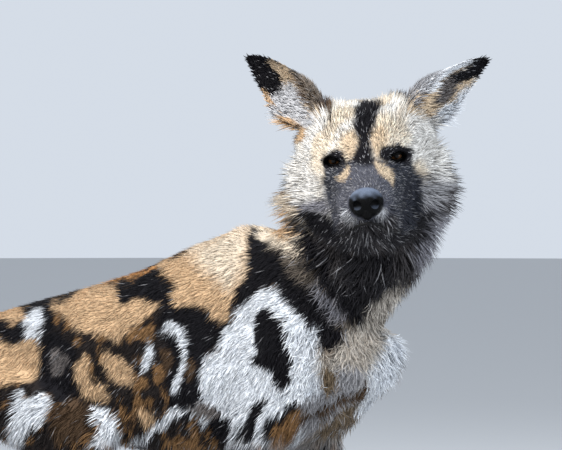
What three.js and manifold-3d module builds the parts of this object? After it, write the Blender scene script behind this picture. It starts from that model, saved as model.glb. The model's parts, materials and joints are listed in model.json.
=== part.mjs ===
// An African wild dog, life size, standing in mid step with its head turned to its right.
// Millimetres, +X forward, +Y to the animal's left, +Z up. The floor is z = 0, and the origin lies on it
// under the middle of the model's box.
import * as THREE from "three";
import { mergeVertices } from "three/addons/utils/BufferGeometryUtils.js";
import Module from "manifold-3d";

const wasm = await Module();
wasm.setup();

// Driving sizes of the animal, with its coat
const WITHERS_HEIGHT = 664;
const CHEST_FLOOR = 330; // the height of the belly line behind the elbow
const CHEST_HALF_WIDTH = 97;
const PAW_HALF_GAUGE = 58; // from the middle plane to the middle of a paw
const LEG_INNER = 30; // a leg's node starts this far from the middle plane
const EYE_RADIUS = 12.2;
const EYE_HALF_SPACING = 39;
const EAR_LENGTH = 124;
const EAR_THICKNESS = 3.4;
const EAR_SINK = 10; // how far an ear's root reaches into the skull
const EAR_LEAN = 10; // how far an ear's tip curls back
const TAIL_LENGTH = 372;
const SEAM = 0.3; // the gap that two touching nodes keep

// Where the head sits and how it is turned
const EYE_MIDPOINT = [224, -84, 742];
const HEAD_YAW = -60;
const HEAD_PITCH = 4; // nose down
const HEAD_ROLL = 4.5; // the left side is the higher one

// Plain vector helpers
const V = (x, y, z) => new THREE.Vector3(x, y, z);
const rad = THREE.MathUtils.degToRad;
const lerp = THREE.MathUtils.lerp;

// A repeatable source of numbers from 0 to 1
function seeded(seed) {
  let state = seed;
  return () => {
    state = (state * 1664525 + 1013904223) % 4294967296;
    return state / 4294967296;
  };
}

// A closed triangle mesh, as positions and indices, made into a solid
function solidFrom(points, faces) {
  const geometry = new THREE.BufferGeometry().setFromPoints(points);
  geometry.setIndex(faces);
  return solidOf(geometry);
}

// A closed three.js geometry made into a solid
function solidOf(geometry) {
  const bare = geometry.clone();
  bare.deleteAttribute("normal");
  bare.deleteAttribute("uv");
  const merged = mergeVertices(bare, 1e-3);
  const mesh = new wasm.Mesh({
    numProp: 3,
    vertProperties: merged.attributes.position.array,
    triVerts: new Uint32Array(merged.index.array),
  });
  const made = new wasm.Manifold(mesh);
  if (made.volume() > 0) return made;
  const turned = new Uint32Array(merged.index.array);
  for (let i = 0; i < turned.length; i += 3) [turned[i + 1], turned[i + 2]] = [turned[i + 2], turned[i + 1]];
  return new wasm.Manifold(
    new wasm.Mesh({ numProp: 3, vertProperties: merged.attributes.position.array, triVerts: turned }),
  );
}

// The largest closed body of a solid, so that no scrap is left over after a cut
function largest(solid) {
  const bodies = solid.decompose();
  return bodies.reduce((best, b) => (b.volume() > best.volume() ? b : best));
}

const union = (solids) => solids.reduce((all, s) => all.add(s));

// A Catmull-Rom blend of the four numbers round a place between b and c
function between(a, b, c, d, t) {
  return 0.5 * (2 * b + (c - a) * t + (2 * a - 5 * b + 4 * c - d) * t * t + (3 * b - a - 3 * c + d) * t ** 3);
}

// A body of flesh carried along a path. Each station is [x, y, z, side, up, down, square]: its centre, its half
// width, its reach above and below the centre, and how square its section is (2 is an ellipse).
class Loft {
  constructor(stations, { sides = 20, steps = 3, upright = V(0, 0, 1) } = {}) {
    Object.assign(this, { stations, sides, steps, upright });
  }

  // All seven numbers of a station at a place from 0 to 1 along the path
  station(place) {
    const s = this.stations;
    const at = Math.min(Math.max(place, 0), 1) * (s.length - 1);
    const i = Math.min(Math.floor(at), s.length - 2);
    const pick = (k) => s[Math.min(Math.max(k, 0), s.length - 1)];
    return s[0].map((_, n) => between(pick(i - 1)[n], pick(i)[n], pick(i + 1)[n], pick(i + 2)[n], at - i));
  }

  // The section's centre, its left and its upward direction
  frame(place) {
    const [x, y, z] = this.station(place);
    const [ax, ay, az] = this.station(place - 0.01);
    const [bx, by, bz] = this.station(place + 0.01);
    const along = V(bx - ax, by - ay, bz - az).normalize();
    const left = this.upright.clone().cross(along).normalize();
    return { centre: V(x, y, z), along, left, up: along.clone().cross(left) };
  }

  // The surface point at a place along and an angle round, where 0 is left and 90 degrees is up
  point(place, angle, grow = 0) {
    const { centre, left, up } = this.frame(place);
    const [, , , side, rise, drop, square] = this.station(place);
    const c = Math.cos(angle);
    const s = Math.sin(angle);
    const power = 2 / square;
    const across = Math.sign(c) * Math.abs(c) ** power * (side + grow);
    const over = Math.sign(s) * Math.abs(s) ** power * ((s > 0 ? rise : drop) + grow);
    return centre.clone().addScaledVector(left, across).addScaledVector(up, over);
  }

  // The way out of the surface at the same place
  normal(place, angle) {
    const e = 0.01;
    const along = this.point(place + e, angle).sub(this.point(place - e, angle));
    const round = this.point(place, angle + e).sub(this.point(place, angle - e));
    return round.cross(along).normalize();
  }

  // The closed solid, with a middle point in each end cap
  solid(grow = 0) {
    const rings = (this.stations.length - 1) * this.steps;
    const points = [];
    for (let r = 0; r <= rings; r++)
      for (let k = 0; k < this.sides; k++)
        points.push(this.point(r / rings, (2 * Math.PI * k) / this.sides, grow));
    const first = points.push(this.frame(0).centre) - 1;
    const last = points.push(this.frame(1).centre) - 1;
    const faces = [];
    for (let k = 0; k < this.sides; k++) {
      const next = (k + 1) % this.sides;
      for (let r = 0; r < rings; r++) {
        const [a, b] = [r * this.sides + k, r * this.sides + next];
        const [c, d] = [a + this.sides, b + this.sides];
        faces.push(a, b, d, a, d, c);
      }
      faces.push(first, next, k, last, rings * this.sides + k, rings * this.sides + next);
    }
    return solidFrom(points, faces);
  }
}

// A rounded lump: a sphere stretched to three half sizes and put at a place
function lump(centre, halves, detail = 12) {
  const geometry = new THREE.SphereGeometry(1, detail, Math.ceil(detail * 0.6));
  geometry.scale(...halves).translate(...centre);
  return solidOf(geometry);
}

// A flat lock of hair: it leaves its root along a way, bends towards a second way and tapers to a point.
// Each share is a place along it, from below the root to near the tip, with its width there.
const LOCK_SHARES = [
  [-0.3, 0.85],
  [0.3, 1],
  [0.7, 0.6],
];
function lock({ root, way, bend, normal, length, width, thickness = 5 }) {
  const wide = way.clone().cross(normal).normalize();
  const flat = wide.clone().cross(way).normalize();
  const place = (s) =>
    root
      .clone()
      .addScaledVector(way, length * s * (1 - 0.25 * Math.max(s, 0)))
      .addScaledVector(bend, length * 0.4 * Math.max(s, 0) ** 2);
  const points = [];
  for (const [s, w] of LOCK_SHARES) {
    const [halfWidth, halfDepth] = [(w * width) / 2, (w * thickness) / 2];
    points.push(
      place(s).addScaledVector(wide, halfWidth),
      place(s).addScaledVector(flat, halfDepth),
      place(s).addScaledVector(wide, -halfWidth),
      place(s).addScaledVector(flat, -halfDepth),
    );
  }
  const tip = points.push(place(1)) - 1;
  const faces = [0, 1, 2, 0, 2, 3];
  for (let k = 0; k < 4; k++) {
    const n = (k + 1) % 4;
    for (let r = 0; r < LOCK_SHARES.length - 1; r++) {
      const [a, b, c, d] = [r * 4 + k, r * 4 + n, r * 4 + 4 + k, r * 4 + 4 + n];
      faces.push(a, c, d, a, d, b);
    }
    const base = (LOCK_SHARES.length - 1) * 4;
    faces.push(base + k, tip, base + n);
  }
  return solidFrom(points, faces);
}

// Trunk: each row is [x, drop of the back below the withers, height of the belly over the chest floor, half
// width]
function trunk() {
  const rows = [
    [198, 122, 172, 24],
    [184, 96, 118, 56],
    [146, 54, 70, 82],
    [90, 18, 40, 92],
    [20, 2, 16, CHEST_HALF_WIDTH],
    [-60, 30, 0, CHEST_HALF_WIDTH + 3],
    [-150, 64, 4, CHEST_HALF_WIDTH + 2],
    [-240, 88, 18, 92],
    [-320, 108, 40, 82],
    [-400, 130, 56, 80],
    [-460, 152, 62, 74],
    [-505, 182, 84, 56],
    [-528, 212, 116, 26],
  ];
  const stations = rows.map(([x, drop, rise, half]) => {
    const [top, belly] = [WITHERS_HEIGHT - drop, CHEST_FLOOR + rise];
    const middle = lerp(belly, top, 0.52);
    return [x, 0, middle, half, top - middle, middle - belly, 2.25];
  });
  return new Loft(stations.reverse(), { sides: 20, steps: 1 });
}

// Neck: from between the shoulders up to the back of the skull
function neckLoft() {
  return new Loft(
    [
      [20, 0, 540, 88, 96, 110, 2.1],
      [96, 0, 580, 90, 92, 116, 2.1],
      [144, -8, 630, 88, 80, 104, 2],
      [170, -20, 684, 86, 66, 92, 2],
      [184, -34, 742, 78, 52, 74, 2],
    ],
    { sides: 18, steps: 2, upright: V(-1, 0, 0.4) },
  );
}

// A foreleg from the shoulder blade to the paw. The side is 1 for left and -1 for right, and the stride is how
// far its paw stands ahead of the elbow.
function foreleg(side, stride) {
  const y = (out) => side * out;
  const gauge = y(PAW_HALF_GAUGE);
  const upper = new Loft(
    [
      [-2, y(34), 600, 22, 24, 24, 2],
      [48, y(54), 566, 42, 44, 44, 2],
      [100, y(62), 510, 48, 56, 50, 2],
      [88, y(66), 452, 44, 60, 58, 2],
      [52, y(70), 404, 36, 50, 50, 2],
      [46, y(70), 374, 28, 40, 40, 2],
    ],
    { sides: 12, steps: 1, upright: V(1, 0, 0.2) },
  );
  const lower = new Loft(
    [
      [50, y(68), 402, 32, 46, 48, 2.1],
      [48 + stride * 0.1, y(69), 356, 32, 44, 44, 2.1],
      [47 + stride * 0.3, y(67), 290, 25, 30, 33, 2.1],
      [47 + stride * 0.55, y(63), 220, 19, 21, 23, 2.1],
      [48 + stride * 0.72, y(60), 168, 19, 20, 21, 2.2],
      [50 + stride * 0.82, y(60), 136, 18, 18, 20, 2.2],
      [53 + stride * 0.92, gauge, 92, 18, 17, 19, 2.2],
      [59 + stride, gauge, 48, 22, 20, 22, 2.2],
      [63 + stride, gauge, 20, 24, 22, 22, 2.2],
    ],
    { sides: 10, steps: 1, upright: V(1, 0, 0) },
  );
  const olecranon = lump([14, y(68), 384], [19, 16, 24], 10);
  return union([upper.solid(), lower.solid(), olecranon]);
}

// A hind leg from the hip to the paw, along the joints hip, knee, hock and toes, each [x, z]
function hindleg(side, { hip, knee, hock, toe }) {
  const y = (out) => side * out;
  const mix = (a, b, t) => [lerp(a[0], b[0], t), lerp(a[1], b[1], t)];
  const [thigh, belowKnee, shin] = [mix(hip, knee, 0.5), mix(knee, hock, 0.25), mix(knee, hock, 0.72)];
  const cannon = mix(hock, toe, 0.5);
  const upper = new Loft(
    [
      [hip[0] - 44, y(42), hip[1] + 6, 32, 48, 42, 2],
      [hip[0] + 4, y(54), hip[1] - 6, 42, 58, 60, 2],
      [thigh[0], y(66), thigh[1] - 8, 44, 50, 72, 2],
      [knee[0], y(76), knee[1], 32, 38, 46, 2],
      [knee[0] + (knee[0] - thigh[0]) * 0.28, y(78), knee[1] - 4, 14, 16, 20, 2],
    ],
    { sides: 12, steps: 1, upright: V(0.5, 0, 1) },
  );
  const lower = new Loft(
    [
      [knee[0] - 8, y(75), knee[1] + 26, 26, 30, 34, 2],
      [knee[0] - 4, y(76), knee[1] - 8, 32, 34, 52, 2],
      [belowKnee[0] - 6, y(76), belowKnee[1], 27, 28, 46, 2],
      [shin[0] - 2, y(70), shin[1], 17, 19, 25, 2],
      [hock[0] + 2, y(64), hock[1] + 4, 16, 18, 22, 2.2],
      [hock[0] + 4, y(62), hock[1] - 30, 15, 16, 20, 2.2],
      [cannon[0], y(60), cannon[1], 15, 15, 17, 2.2],
      [toe[0] - 8, y(PAW_HALF_GAUGE), 50, 19, 19, 20, 2.2],
      [toe[0] - 2, y(PAW_HALF_GAUGE), 20, 21, 21, 20, 2.2],
    ],
    { sides: 10, steps: 1, upright: V(1, 0, 0) },
  );
  const heel = lump([hock[0] - 16, y(63), hock[1] + 14], [13, 12, 20], 10);
  return union([upper.solid(), lower.solid(), heel]);
}

// Four toes side by side with the middle pair ahead, over the pad. The place is the paw's middle.
const TOE_ROWS = [
  { across: -21, ahead: 18, half: [17, 9.5, 13] },
  { across: -8, ahead: 30, half: [20, 10, 14] },
  { across: 8, ahead: 30, half: [20, 10, 14] },
  { across: 21, ahead: 18, half: [17, 9.5, 13] },
];
function toe({ ahead, across, half }, { x, side, size }, grow = 0) {
  const centre = [x + ahead * size, side * PAW_HALF_GAUGE + across * size, 12 * size];
  return lump(centre, half.map((h) => h * size + grow), 7);
}
function paw(place) {
  const { x, side, size } = place;
  const heelPad = lump([x + 2, side * PAW_HALF_GAUGE, 13 * size], [27 * size, 23 * size, 17 * size], 8);
  return union([heelPad, ...TOE_ROWS.map((row) => toe(row, place))]);
}

// A claw: a curved, tapering horn that leaves the front of a toe and ends just over the floor
function claw(x, y, size) {
  const rows = [
    [-6, 12.5, 2.9],
    [2, 12.2, 2.9],
    [9, 9.4, 2.2],
    [16, 3, 0.6],
  ];
  const stations = rows.map(([a, z, r]) => [x + a * size, y, z * size, r * 0.85, r * 1.15, r, 2]);
  return new Loft(stations, { sides: 5, steps: 1 }).solid();
}

// Tail: it hangs behind the legs with a slack bend, and is thicker where the brush is
function tailLoft() {
  const [rootX, rootZ] = [-472, 452];
  const rows = [
    // how far behind and above the root, and the radius
    [0, 0, 26],
    [-44, 2, 26],
    [-84, -34, 23],
    [-102, -112, 22],
    [-106, -190, 24],
    [-114, -268, 20],
    [-128, -TAIL_LENGTH * 0.9, 7],
  ];
  const stations = rows.map(([dx, dz, r]) => [rootX + dx, 0, rootZ + dz, r, r, r, 2]);
  return new Loft(stations, { sides: 12, steps: 1, upright: V(1, 0, 0.3) });
}

// Head, in its own frame: the eyes' midpoint is 0, +X is towards the nose, +Y to the left, +Z up.
// Each row is [x, top, bottom, half width, square].
const HEAD_ROWS = [
  [-126, 24, -34, 36, 2],
  [-112, 48, -62, 60, 2],
  [-86, 66, -84, 78, 2.1],
  [-54, 74, -92, 86, 2.2],
  [-28, 66, -96, 82, 2.3],
  [-8, 46, -98, 66, 2.3],
  [10, 18, -100, 50, 2.4],
  [30, -4, -102, 43, 2.5],
  [52, -16, -103, 40, 2.6],
  [72, -23, -101, 36, 2.6],
  [87, -29, -95, 31, 2.5],
  [94, -38, -86, 20, 2.3],
];
function headLoft() {
  const stations = HEAD_ROWS.map(([x, top, bottom, half, square]) => {
    const middle = (top + bottom) / 2;
    return [x, 0, middle, half, top - middle, middle - bottom, square];
  });
  return new Loft(stations, { sides: 22, steps: 1 });
}

const toWorld = new THREE.Matrix4()
  .makeTranslation(...EYE_MIDPOINT)
  .multiply(new THREE.Matrix4().makeRotationZ(rad(HEAD_YAW)))
  .multiply(new THREE.Matrix4().makeRotationY(rad(HEAD_PITCH)))
  .multiply(new THREE.Matrix4().makeRotationX(rad(HEAD_ROLL)));
const placed = (solid) => solid.transform(toWorld.elements);

const eyeAt = (side) => [0, side * EYE_HALF_SPACING, 0];

// Brow, cheek bone and jaw muscle, which give the skull its planes
const HEAD_LUMPS = [
  { at: [-8, 36, 17], half: [20, 24, 11] },
  { at: [-32, 58, -16], half: [38, 22, 20] },
  { at: [-58, 62, -52], half: [46, 26, 34] },
  { at: [70, 20, -72], half: [26, 17, 20] },
];
function skullSolid(head, grow = 0) {
  const lumps = HEAD_LUMPS.flatMap(({ at: [x, y, z], half }) =>
    [-1, 1].map((side) => lump([x, side * y, z], half.map((h) => h + grow), 8)),
  );
  return union([head.solid(grow), ...lumps]);
}

// A thin tube along a path of points that tapers towards both ends, for the rims of the lids
function bead(points, radius) {
  const curve = new THREE.CatmullRomCurve3(points);
  const count = points.length + 1;
  const section = 4;
  const frames = curve.computeFrenetFrames(count);
  const rings = [];
  for (let r = 0; r <= count; r++) {
    const reach = radius * Math.sin(Math.PI * lerp(0.12, 0.88, r / count));
    for (let k = 0; k < section; k++) {
      const a = (2 * Math.PI * k) / section;
      const point = curve.getPointAt(r / count);
      point.addScaledVector(frames.normals[r], Math.cos(a) * reach);
      point.addScaledVector(frames.binormals[r], Math.sin(a) * reach);
      rings.push(point);
    }
  }
  const faces = [];
  for (let r = 0; r < count; r++)
    for (let k = 0; k < section; k++) {
      const n = (k + 1) % section;
      const [a, b] = [r * section + k, r * section + n];
      const [c, d] = [a + section, b + section];
      faces.push(a, b, d, a, d, c);
    }
  const far = count * section;
  for (let k = 1; k < section - 1; k++) faces.push(0, k + 1, k, far, far + k, far + k + 1);
  return solidFrom(rings, faces);
}

// Lids: two arcs over the front of the eyeball that meet in slanting corners, the inner one lower
function lids(side) {
  const [ex, ey, ez] = eyeAt(side);
  const r = EYE_RADIUS + 0.6;
  const outward = side * rad(24); // the eyes look a little to the side
  const halfOpening = rad(58);
  const slant = rad(9);
  const arc = (rise) =>
    [-1, -0.7, -0.35, 0, 0.35, 0.7, 1].map((t) => {
      const across = t * halfOpening;
      const lift = rise * (1 - t * t) + slant * t;
      const turned = outward + side * across;
      return V(
        ex + r * Math.cos(turned) * Math.cos(lift),
        ey + r * Math.sin(turned) * Math.cos(lift),
        ez + r * Math.sin(lift),
      );
    });
  return [bead(arc(rad(34)), 3.1), bead(arc(rad(-30)), 2.6)];
}

// The mouth: a thin slit round the muzzle that sinks a few millimetres and ends in the corners
function mouthSlit(head) {
  const line = [
    [108, -87],
    [82, -87],
    [56, -91],
    [30, -84],
    [8, -70],
    [-4, -62],
  ];
  const half = 0.9;
  const shape = new THREE.Shape([
    ...line.map(([x, z]) => new THREE.Vector2(x, z + half)),
    ...[...line].reverse().map(([x, z]) => new THREE.Vector2(x, z - half)),
  ]);
  const band = new THREE.ExtrudeGeometry(shape, { depth: 150, bevelEnabled: false });
  band.translate(0, 0, -75).rotateX(Math.PI / 2);
  return solidOf(band).subtract(head.solid(-5));
}

// The nose pad: a broad ball over a narrow foot
const NOSE_LUMPS = [
  { at: [89, 0, -46], half: [15, 23.5, 17], detail: 10 },
  { at: [88, 0, -62], half: [13, 11, 13], detail: 8 },
];
const NOSE_SEAT_GAP = 0.4;
function noseBody(grow = 0) {
  return union(NOSE_LUMPS.map(({ at, half, detail }) => lump(at, half.map((h) => h + grow), detail)));
}

// The pad with its two nostrils and the groove down to the lip
function nosePad() {
  const cuts = [-1, 1].flatMap((side) => [
    lump([103, side * 11.5, -46], [9, 4.6, 4.4], 7),
    lump([96, side * 21, -44], [9, 6, 2.6], 7),
  ]);
  const groove = new THREE.BoxGeometry(5, 1.3, 26).translate(103, 0, -62);
  return noseBody().subtract(union([...cuts, solidOf(groove)]));
}

// An ear: a cup that is rolled into a tube at its root and opens towards a broad, blunt tip. Its frame has the
// root at 0, +Z along the ear, and the opening towards +X.
const EAR_ROWS = [
  // share of the length, half width, half angle of the roll in degrees
  [0, 19, 118],
  [0.12, 26, 108],
  [0.28, 33, 92],
  [0.45, 37, 74],
  [0.62, 37, 60],
  [0.78, 31, 48],
  [0.9, 22, 38],
  [0.97, 12.5, 30],
  [1, 4.5, 26],
];
function earSolid(frame, length) {
  const across = 10;
  const rows = EAR_ROWS.length;
  const sheet = (inset) =>
    EAR_ROWS.map(([share, half, angle], r) => {
      const roll = rad(angle);
      const radius = half / Math.sin(Math.min(roll, Math.PI / 2));
      const reach = radius - inset * (1 - 0.55 * share);
      const back = radius * Math.cos(roll) * 0.6 - EAR_LEAN * share * share + 8;
      return Array.from({ length: across + 1 }, (_, k) => {
        const a = lerp(-roll, roll, k / across);
        return V(back - reach * Math.cos(a), reach * Math.sin(a), length * share - (r === 0 ? EAR_SINK : 0));
      });
    }).flat();
  const points = [...sheet(0), ...sheet(EAR_THICKNESS)].map((p) => p.applyMatrix4(frame));
  const width = across + 1;
  const inner = rows * width;
  const faces = [];
  for (let r = 0; r < rows - 1; r++)
    for (let k = 0; k < across; k++) {
      const [a, b, c, d] = [r * width + k, r * width + k + 1, (r + 1) * width + k, (r + 1) * width + k + 1];
      faces.push(a, d, b, a, c, d);
      faces.push(inner + a, inner + b, inner + d, inner + a, inner + d, inner + c);
    }
  const rim = [];
  for (let k = 0; k < across; k++) rim.push(k);
  for (let r = 0; r < rows - 1; r++) rim.push(r * width + across);
  for (let k = across; k > 0; k--) rim.push((rows - 1) * width + k);
  for (let r = rows - 1; r > 0; r--) rim.push(r * width);
  rim.forEach((a, i) => {
    const b = rim[(i + 1) % rim.length];
    faces.push(a, b, inner + b, a, inner + b, inner + a);
  });
  return solidFrom(points, faces);
}

// How each ear leaves the skull: its root and tip in the head's frame, and where it opens
const EARS = {
  right: { root: V(-64, -58, 48), tip: V(-86, -142, 130), open: V(1, -0.5, -0.35) },
  left: { root: V(-64, 58, 44), tip: V(-80, 158, 101), open: V(0.85, 0.1, -0.8) },
};
function earFrame({ root, tip, open }) {
  const z = tip.clone().sub(root).normalize();
  const y = z.clone().cross(open).normalize();
  const x = y.clone().cross(z);
  return toWorld.clone().multiply(new THREE.Matrix4().makeBasis(x, y, z).setPosition(root));
}

// Locks of the cheek ruff, in rows on the side of the head from below the ear to the jaw, swept out and back
const CHEEK_ROWS = [
  { place: 0.14, count: 6, length: 64 },
  { place: 0.23, count: 6, length: 60 },
  { place: 0.32, count: 5, length: 40 },
];
function cheekRuff(head, grow = 0) {
  const draw = seeded(7);
  const made = [];
  for (const side of [-1, 1])
    for (const { place, count, length } of CHEEK_ROWS)
      for (let k = 0; k < count; k++) {
        const turn = rad(lerp(22, -66, k / (count - 1)) + 6 * (draw() - 0.5));
        const angle = side > 0 ? turn : Math.PI - turn;
        made.push(
          lock({
            root: head.point(place, angle, -4),
            normal: head.normal(place, angle),
            way: V(-0.5, side * 0.8, -0.15 - 0.3 * draw()).normalize(),
            bend: V(-0.3, side * 0.1, -0.6),
            length: length * lerp(0.88, 1.12, draw()) + grow,
            width: 24 + 2 * grow,
            thickness: 8 + 2 * grow,
          }),
        );
      }
  return made;
}

// Locks round the neck in rows, long on the throat and short on the nape, that point down and stand out a
// little
const NECK_ROWS = [
  { place: 0.95, count: 12 },
  { place: 0.79, count: 12 },
  { place: 0.62, count: 12 },
];
function neckLocks(neck) {
  const draw = seeded(23);
  const made = [];
  NECK_ROWS.forEach(({ place, count }, row) => {
    const down = neck.frame(place).along.negate();
    for (let k = 0; k < count; k++) {
      const angle = (2 * Math.PI * (k + 0.5 * (row % 2) + 0.2 * (draw() - 0.5))) / count;
      const throat = 0.5 - 0.5 * Math.sin(angle);
      const normal = neck.normal(place, angle);
      made.push(
        lock({
          root: neck.point(place, angle, -5),
          normal,
          way: down.clone().addScaledVector(normal, 0.72 + 0.12 * draw()).normalize(),
          bend: V(0, 0, -0.35),
          length: lerp(44, 74, throat) * lerp(0.9, 1.1, draw()),
          width: 34,
          thickness: 9,
        }),
      );
    }
  });
  return made;
}

// Locks of the tail's brush, in rings that overlap towards the tip
const BRUSH_RINGS = { count: 6, from: 0.4, to: 0.95, locks: 5 };
function tailBrush(tail) {
  const draw = seeded(41);
  const made = [];
  const { count, from, to, locks } = BRUSH_RINGS;
  for (let ring = 0; ring < count; ring++) {
    const place = lerp(from, to, ring / (count - 1));
    const { along } = tail.frame(place);
    for (let k = 0; k < locks; k++) {
      const angle = (2 * Math.PI * (k + 0.5 * (ring % 2) + 0.2 * (draw() - 0.5))) / locks;
      const normal = tail.normal(place, angle);
      made.push(
        lock({
          root: tail.point(place, angle, -4),
          normal,
          way: along.clone().addScaledVector(normal, 0.42 + 0.12 * draw()).normalize(),
          bend: along,
          length: lerp(52, 66, draw()),
          width: 30,
          thickness: 8,
        }),
      );
    }
  }
  return made;
}

// A box of space that one node takes for itself, tilted about its own Y
function cell({ centre, size, tilt = 0 }, grow = 0) {
  const geometry = new THREE.BoxGeometry(...size.map((s) => s + 2 * grow));
  geometry.rotateY(rad(tilt)).translate(...centre);
  return solidOf(geometry);
}

// The legs: how each one is bent, and the x of the middle of its paw
const FORE_STRIDES = { foreleg_right: 0, foreleg_left: 14 };
const HIND_JOINTS = {
  hindleg_right: { hip: [-394, 436], knee: [-192, 368], hock: [-262, 172], toe: [-228, 24] },
  hindleg_left: { hip: [-394, 436], knee: [-322, 256], hock: [-505, 156], toe: [-488, 24] },
};
const PAWS = {
  foreleg_right: { x: 63, side: -1, size: 1 },
  foreleg_left: { x: 77, side: 1, size: 1 },
  hindleg_right: { x: -228, side: -1, size: 0.92 },
  hindleg_left: { x: -488, side: 1, size: 0.92 },
};
function legSolid(name) {
  const { side } = PAWS[name];
  const bend = HIND_JOINTS[name];
  const leg = bend ? hindleg(side, bend) : foreleg(side, FORE_STRIDES[name]);
  return leg.add(paw(PAWS[name]));
}

// Where a leg parts from the trunk, seen from the side, as [x, z] points from the floor behind it over the
// shoulder or the hip and down in front of it
const FORE_PARTING = [
  [-110, -20],
  [-110, 310],
  [-14, 352],
  [14, 430],
  [34, 510],
  [60, 566],
  [104, 584],
  [146, 556],
  [158, 500],
  [146, 440],
  [122, 392],
  [140, 310],
  [240, -20],
];
const hindParting = ({ hip, knee }) => [
  [hip[0] - 250, -20],
  [hip[0] - 250, hip[1] - 120],
  [hip[0] - 82, hip[1] - 22],
  [hip[0] - 46, hip[1] + 34],
  [hip[0], hip[1] + 54],
  [lerp(hip[0], knee[0], 0.5) + 14, lerp(hip[1], knee[1], 0.5) + 52],
  [knee[0] + 30, knee[1] + 44],
  [knee[0] + 58, knee[1]],
  [knee[0] + 58, -20],
];

// The block of space outside the middle plane's strip and inside a parting line
function partingBlock(name, grow = 0) {
  const { side } = PAWS[name];
  const line = HIND_JOINTS[name] ? hindParting(HIND_JOINTS[name]) : FORE_PARTING;
  const outline = line.map(([x, z], i) => {
    const [px, pz] = line[(i + line.length - 1) % line.length];
    const [nx, nz] = line[(i + 1) % line.length];
    const outward = new THREE.Vector2(pz - nz, nx - px).normalize();
    return new THREE.Vector2(x + grow * outward.x, z + grow * outward.y);
  });
  const depth = 300;
  const block = new THREE.ExtrudeGeometry(new THREE.Shape(outline), { depth, bevelEnabled: false });
  block.rotateX(Math.PI / 2);
  block.translate(0, side > 0 ? LEG_INNER - grow + depth : -LEG_INNER + grow, 0);
  return solidOf(block);
}

// The boxes of space that part the nodes: above the floor, beyond the shoulders and behind the rump
const ABOVE_FLOOR = { centre: [-150, 0, 1000], size: [1600, 800, 2000] };
const NECK_CELL = { centre: [216, -40, 720], size: [460, 460, 260], tilt: 52 };
const TAIL_CELL = { centre: [-724, 0, 400], size: [400, 110, 800] };

const EYES = { eye_right: -1, eye_left: 1 };
const eyeball = (side, grow = 0) => lump(eyeAt(side), Array(3).fill(EYE_RADIUS + grow), 12);
const orbit = (side) => lump([21, side * 45, 1], [17, 17, 11], 8);

// The head with its orbits, lids, ruff and mouth, the nose pad, the eyes, and the ears that sit on the skull
function headNodes(headRoom) {
  const head = headLoft();
  const sides = Object.values(EYES);
  const skull = skullSolid(head).subtract(union(sides.map(orbit)));
  const face = union([skull, ...sides.flatMap(lids), ...cheekRuff(head)])
    .subtract(union([...sides.map((side) => eyeball(side, SEAM)), noseBody(NOSE_SEAT_GAP)]))
    .subtract(mouthSlit(head));
  const nodes = { head: largest(placed(face)), nose: largest(placed(nosePad())) };
  for (const [name, side] of Object.entries(EYES)) nodes[name] = placed(eyeball(side));
  for (const [name, ear] of Object.entries(EARS))
    nodes["ear_" + name] = largest(earSolid(earFrame(ear), EAR_LENGTH).subtract(headRoom));
  return nodes;
}

// The neck, the legs, the tail and the torso, cut from one body so that they meet face to face
function bodyNodes(headRoom) {
  const neck = neckLoft();
  const tail = tailLoft();
  const legs = Object.keys(PAWS);
  const whole = union([trunk().solid(), neck.solid(), tail.solid(), ...legs.map(legSolid)]);
  const body = whole.intersect(cell(ABOVE_FLOOR));
  const nodes = {};
  nodes.neck = largest(union([body, ...neckLocks(neck)]).intersect(cell(NECK_CELL)).subtract(headRoom));
  const below = body.subtract(cell(NECK_CELL, SEAM)).subtract(headRoom).subtract(cell(TAIL_CELL, SEAM));
  for (const name of legs) nodes[name] = largest(below.intersect(partingBlock(name)));
  nodes.tail = largest(union([tail.solid(), ...tailBrush(tail)]).intersect(cell(TAIL_CELL)));
  nodes.torso = largest(below.subtract(union(legs.map((name) => partingBlock(name, SEAM)))));
  return nodes;
}

// The claws, each with its root against the front of a toe
function clawNodes() {
  const nodes = {};
  for (const [name, place] of Object.entries(PAWS))
    TOE_ROWS.forEach((row, i) => {
      const x = place.x + (row.ahead + row.half[0] - 1) * place.size;
      const y = place.side * PAW_HALF_GAUGE + row.across * place.size;
      const key = "claw_" + name.replace("leg", "") + "_" + (i + 1);
      nodes[key] = largest(claw(x, y, place.size).subtract(toe(row, place, SEAM)));
    });
  return nodes;
}

function buildSolids() {
  const head = headLoft();
  const headRoom = placed(union([skullSolid(head, 2 * SEAM), ...cheekRuff(head, 2 * SEAM)]));
  return { ...headNodes(headRoom), ...bodyNodes(headRoom), ...clawNodes() };
}

// Finish of each kind of node, as seen on the animal
const FINISHES = {
  coat: { color: "#3d332b", roughness: 0.85 },
  pale: { color: "#cbb89a", roughness: 0.85 },
  horn: { color: "#26221f", roughness: 0.5 },
  eye: { color: "#3a2416", roughness: 0.1 },
  nose: { color: "#1d1e22", roughness: 0.4 },
};
function finishOf(name) {
  if (name.startsWith("claw")) return "horn";
  if (name.startsWith("eye")) return "eye";
  if (name === "nose") return "nose";
  return name === "head" || name.startsWith("ear") ? "pale" : "coat";
}

function meshOf(name, solid) {
  const { vertProperties, triVerts, numProp } = solid.getMesh();
  const positions = new Float32Array((vertProperties.length / numProp) * 3);
  for (let i = 0; i < positions.length / 3; i++)
    positions.set(vertProperties.subarray(i * numProp, i * numProp + 3), i * 3);
  const geometry = new THREE.BufferGeometry();
  geometry.setAttribute("position", new THREE.BufferAttribute(positions, 3));
  geometry.setIndex(new THREE.BufferAttribute(new Uint32Array(triVerts), 1));
  geometry.computeVertexNormals();
  const material = new THREE.MeshStandardMaterial({ ...FINISHES[finishOf(name)], metalness: 0 });
  const mesh = new THREE.Mesh(geometry, material);
  mesh.name = name;
  return mesh;
}

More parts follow.
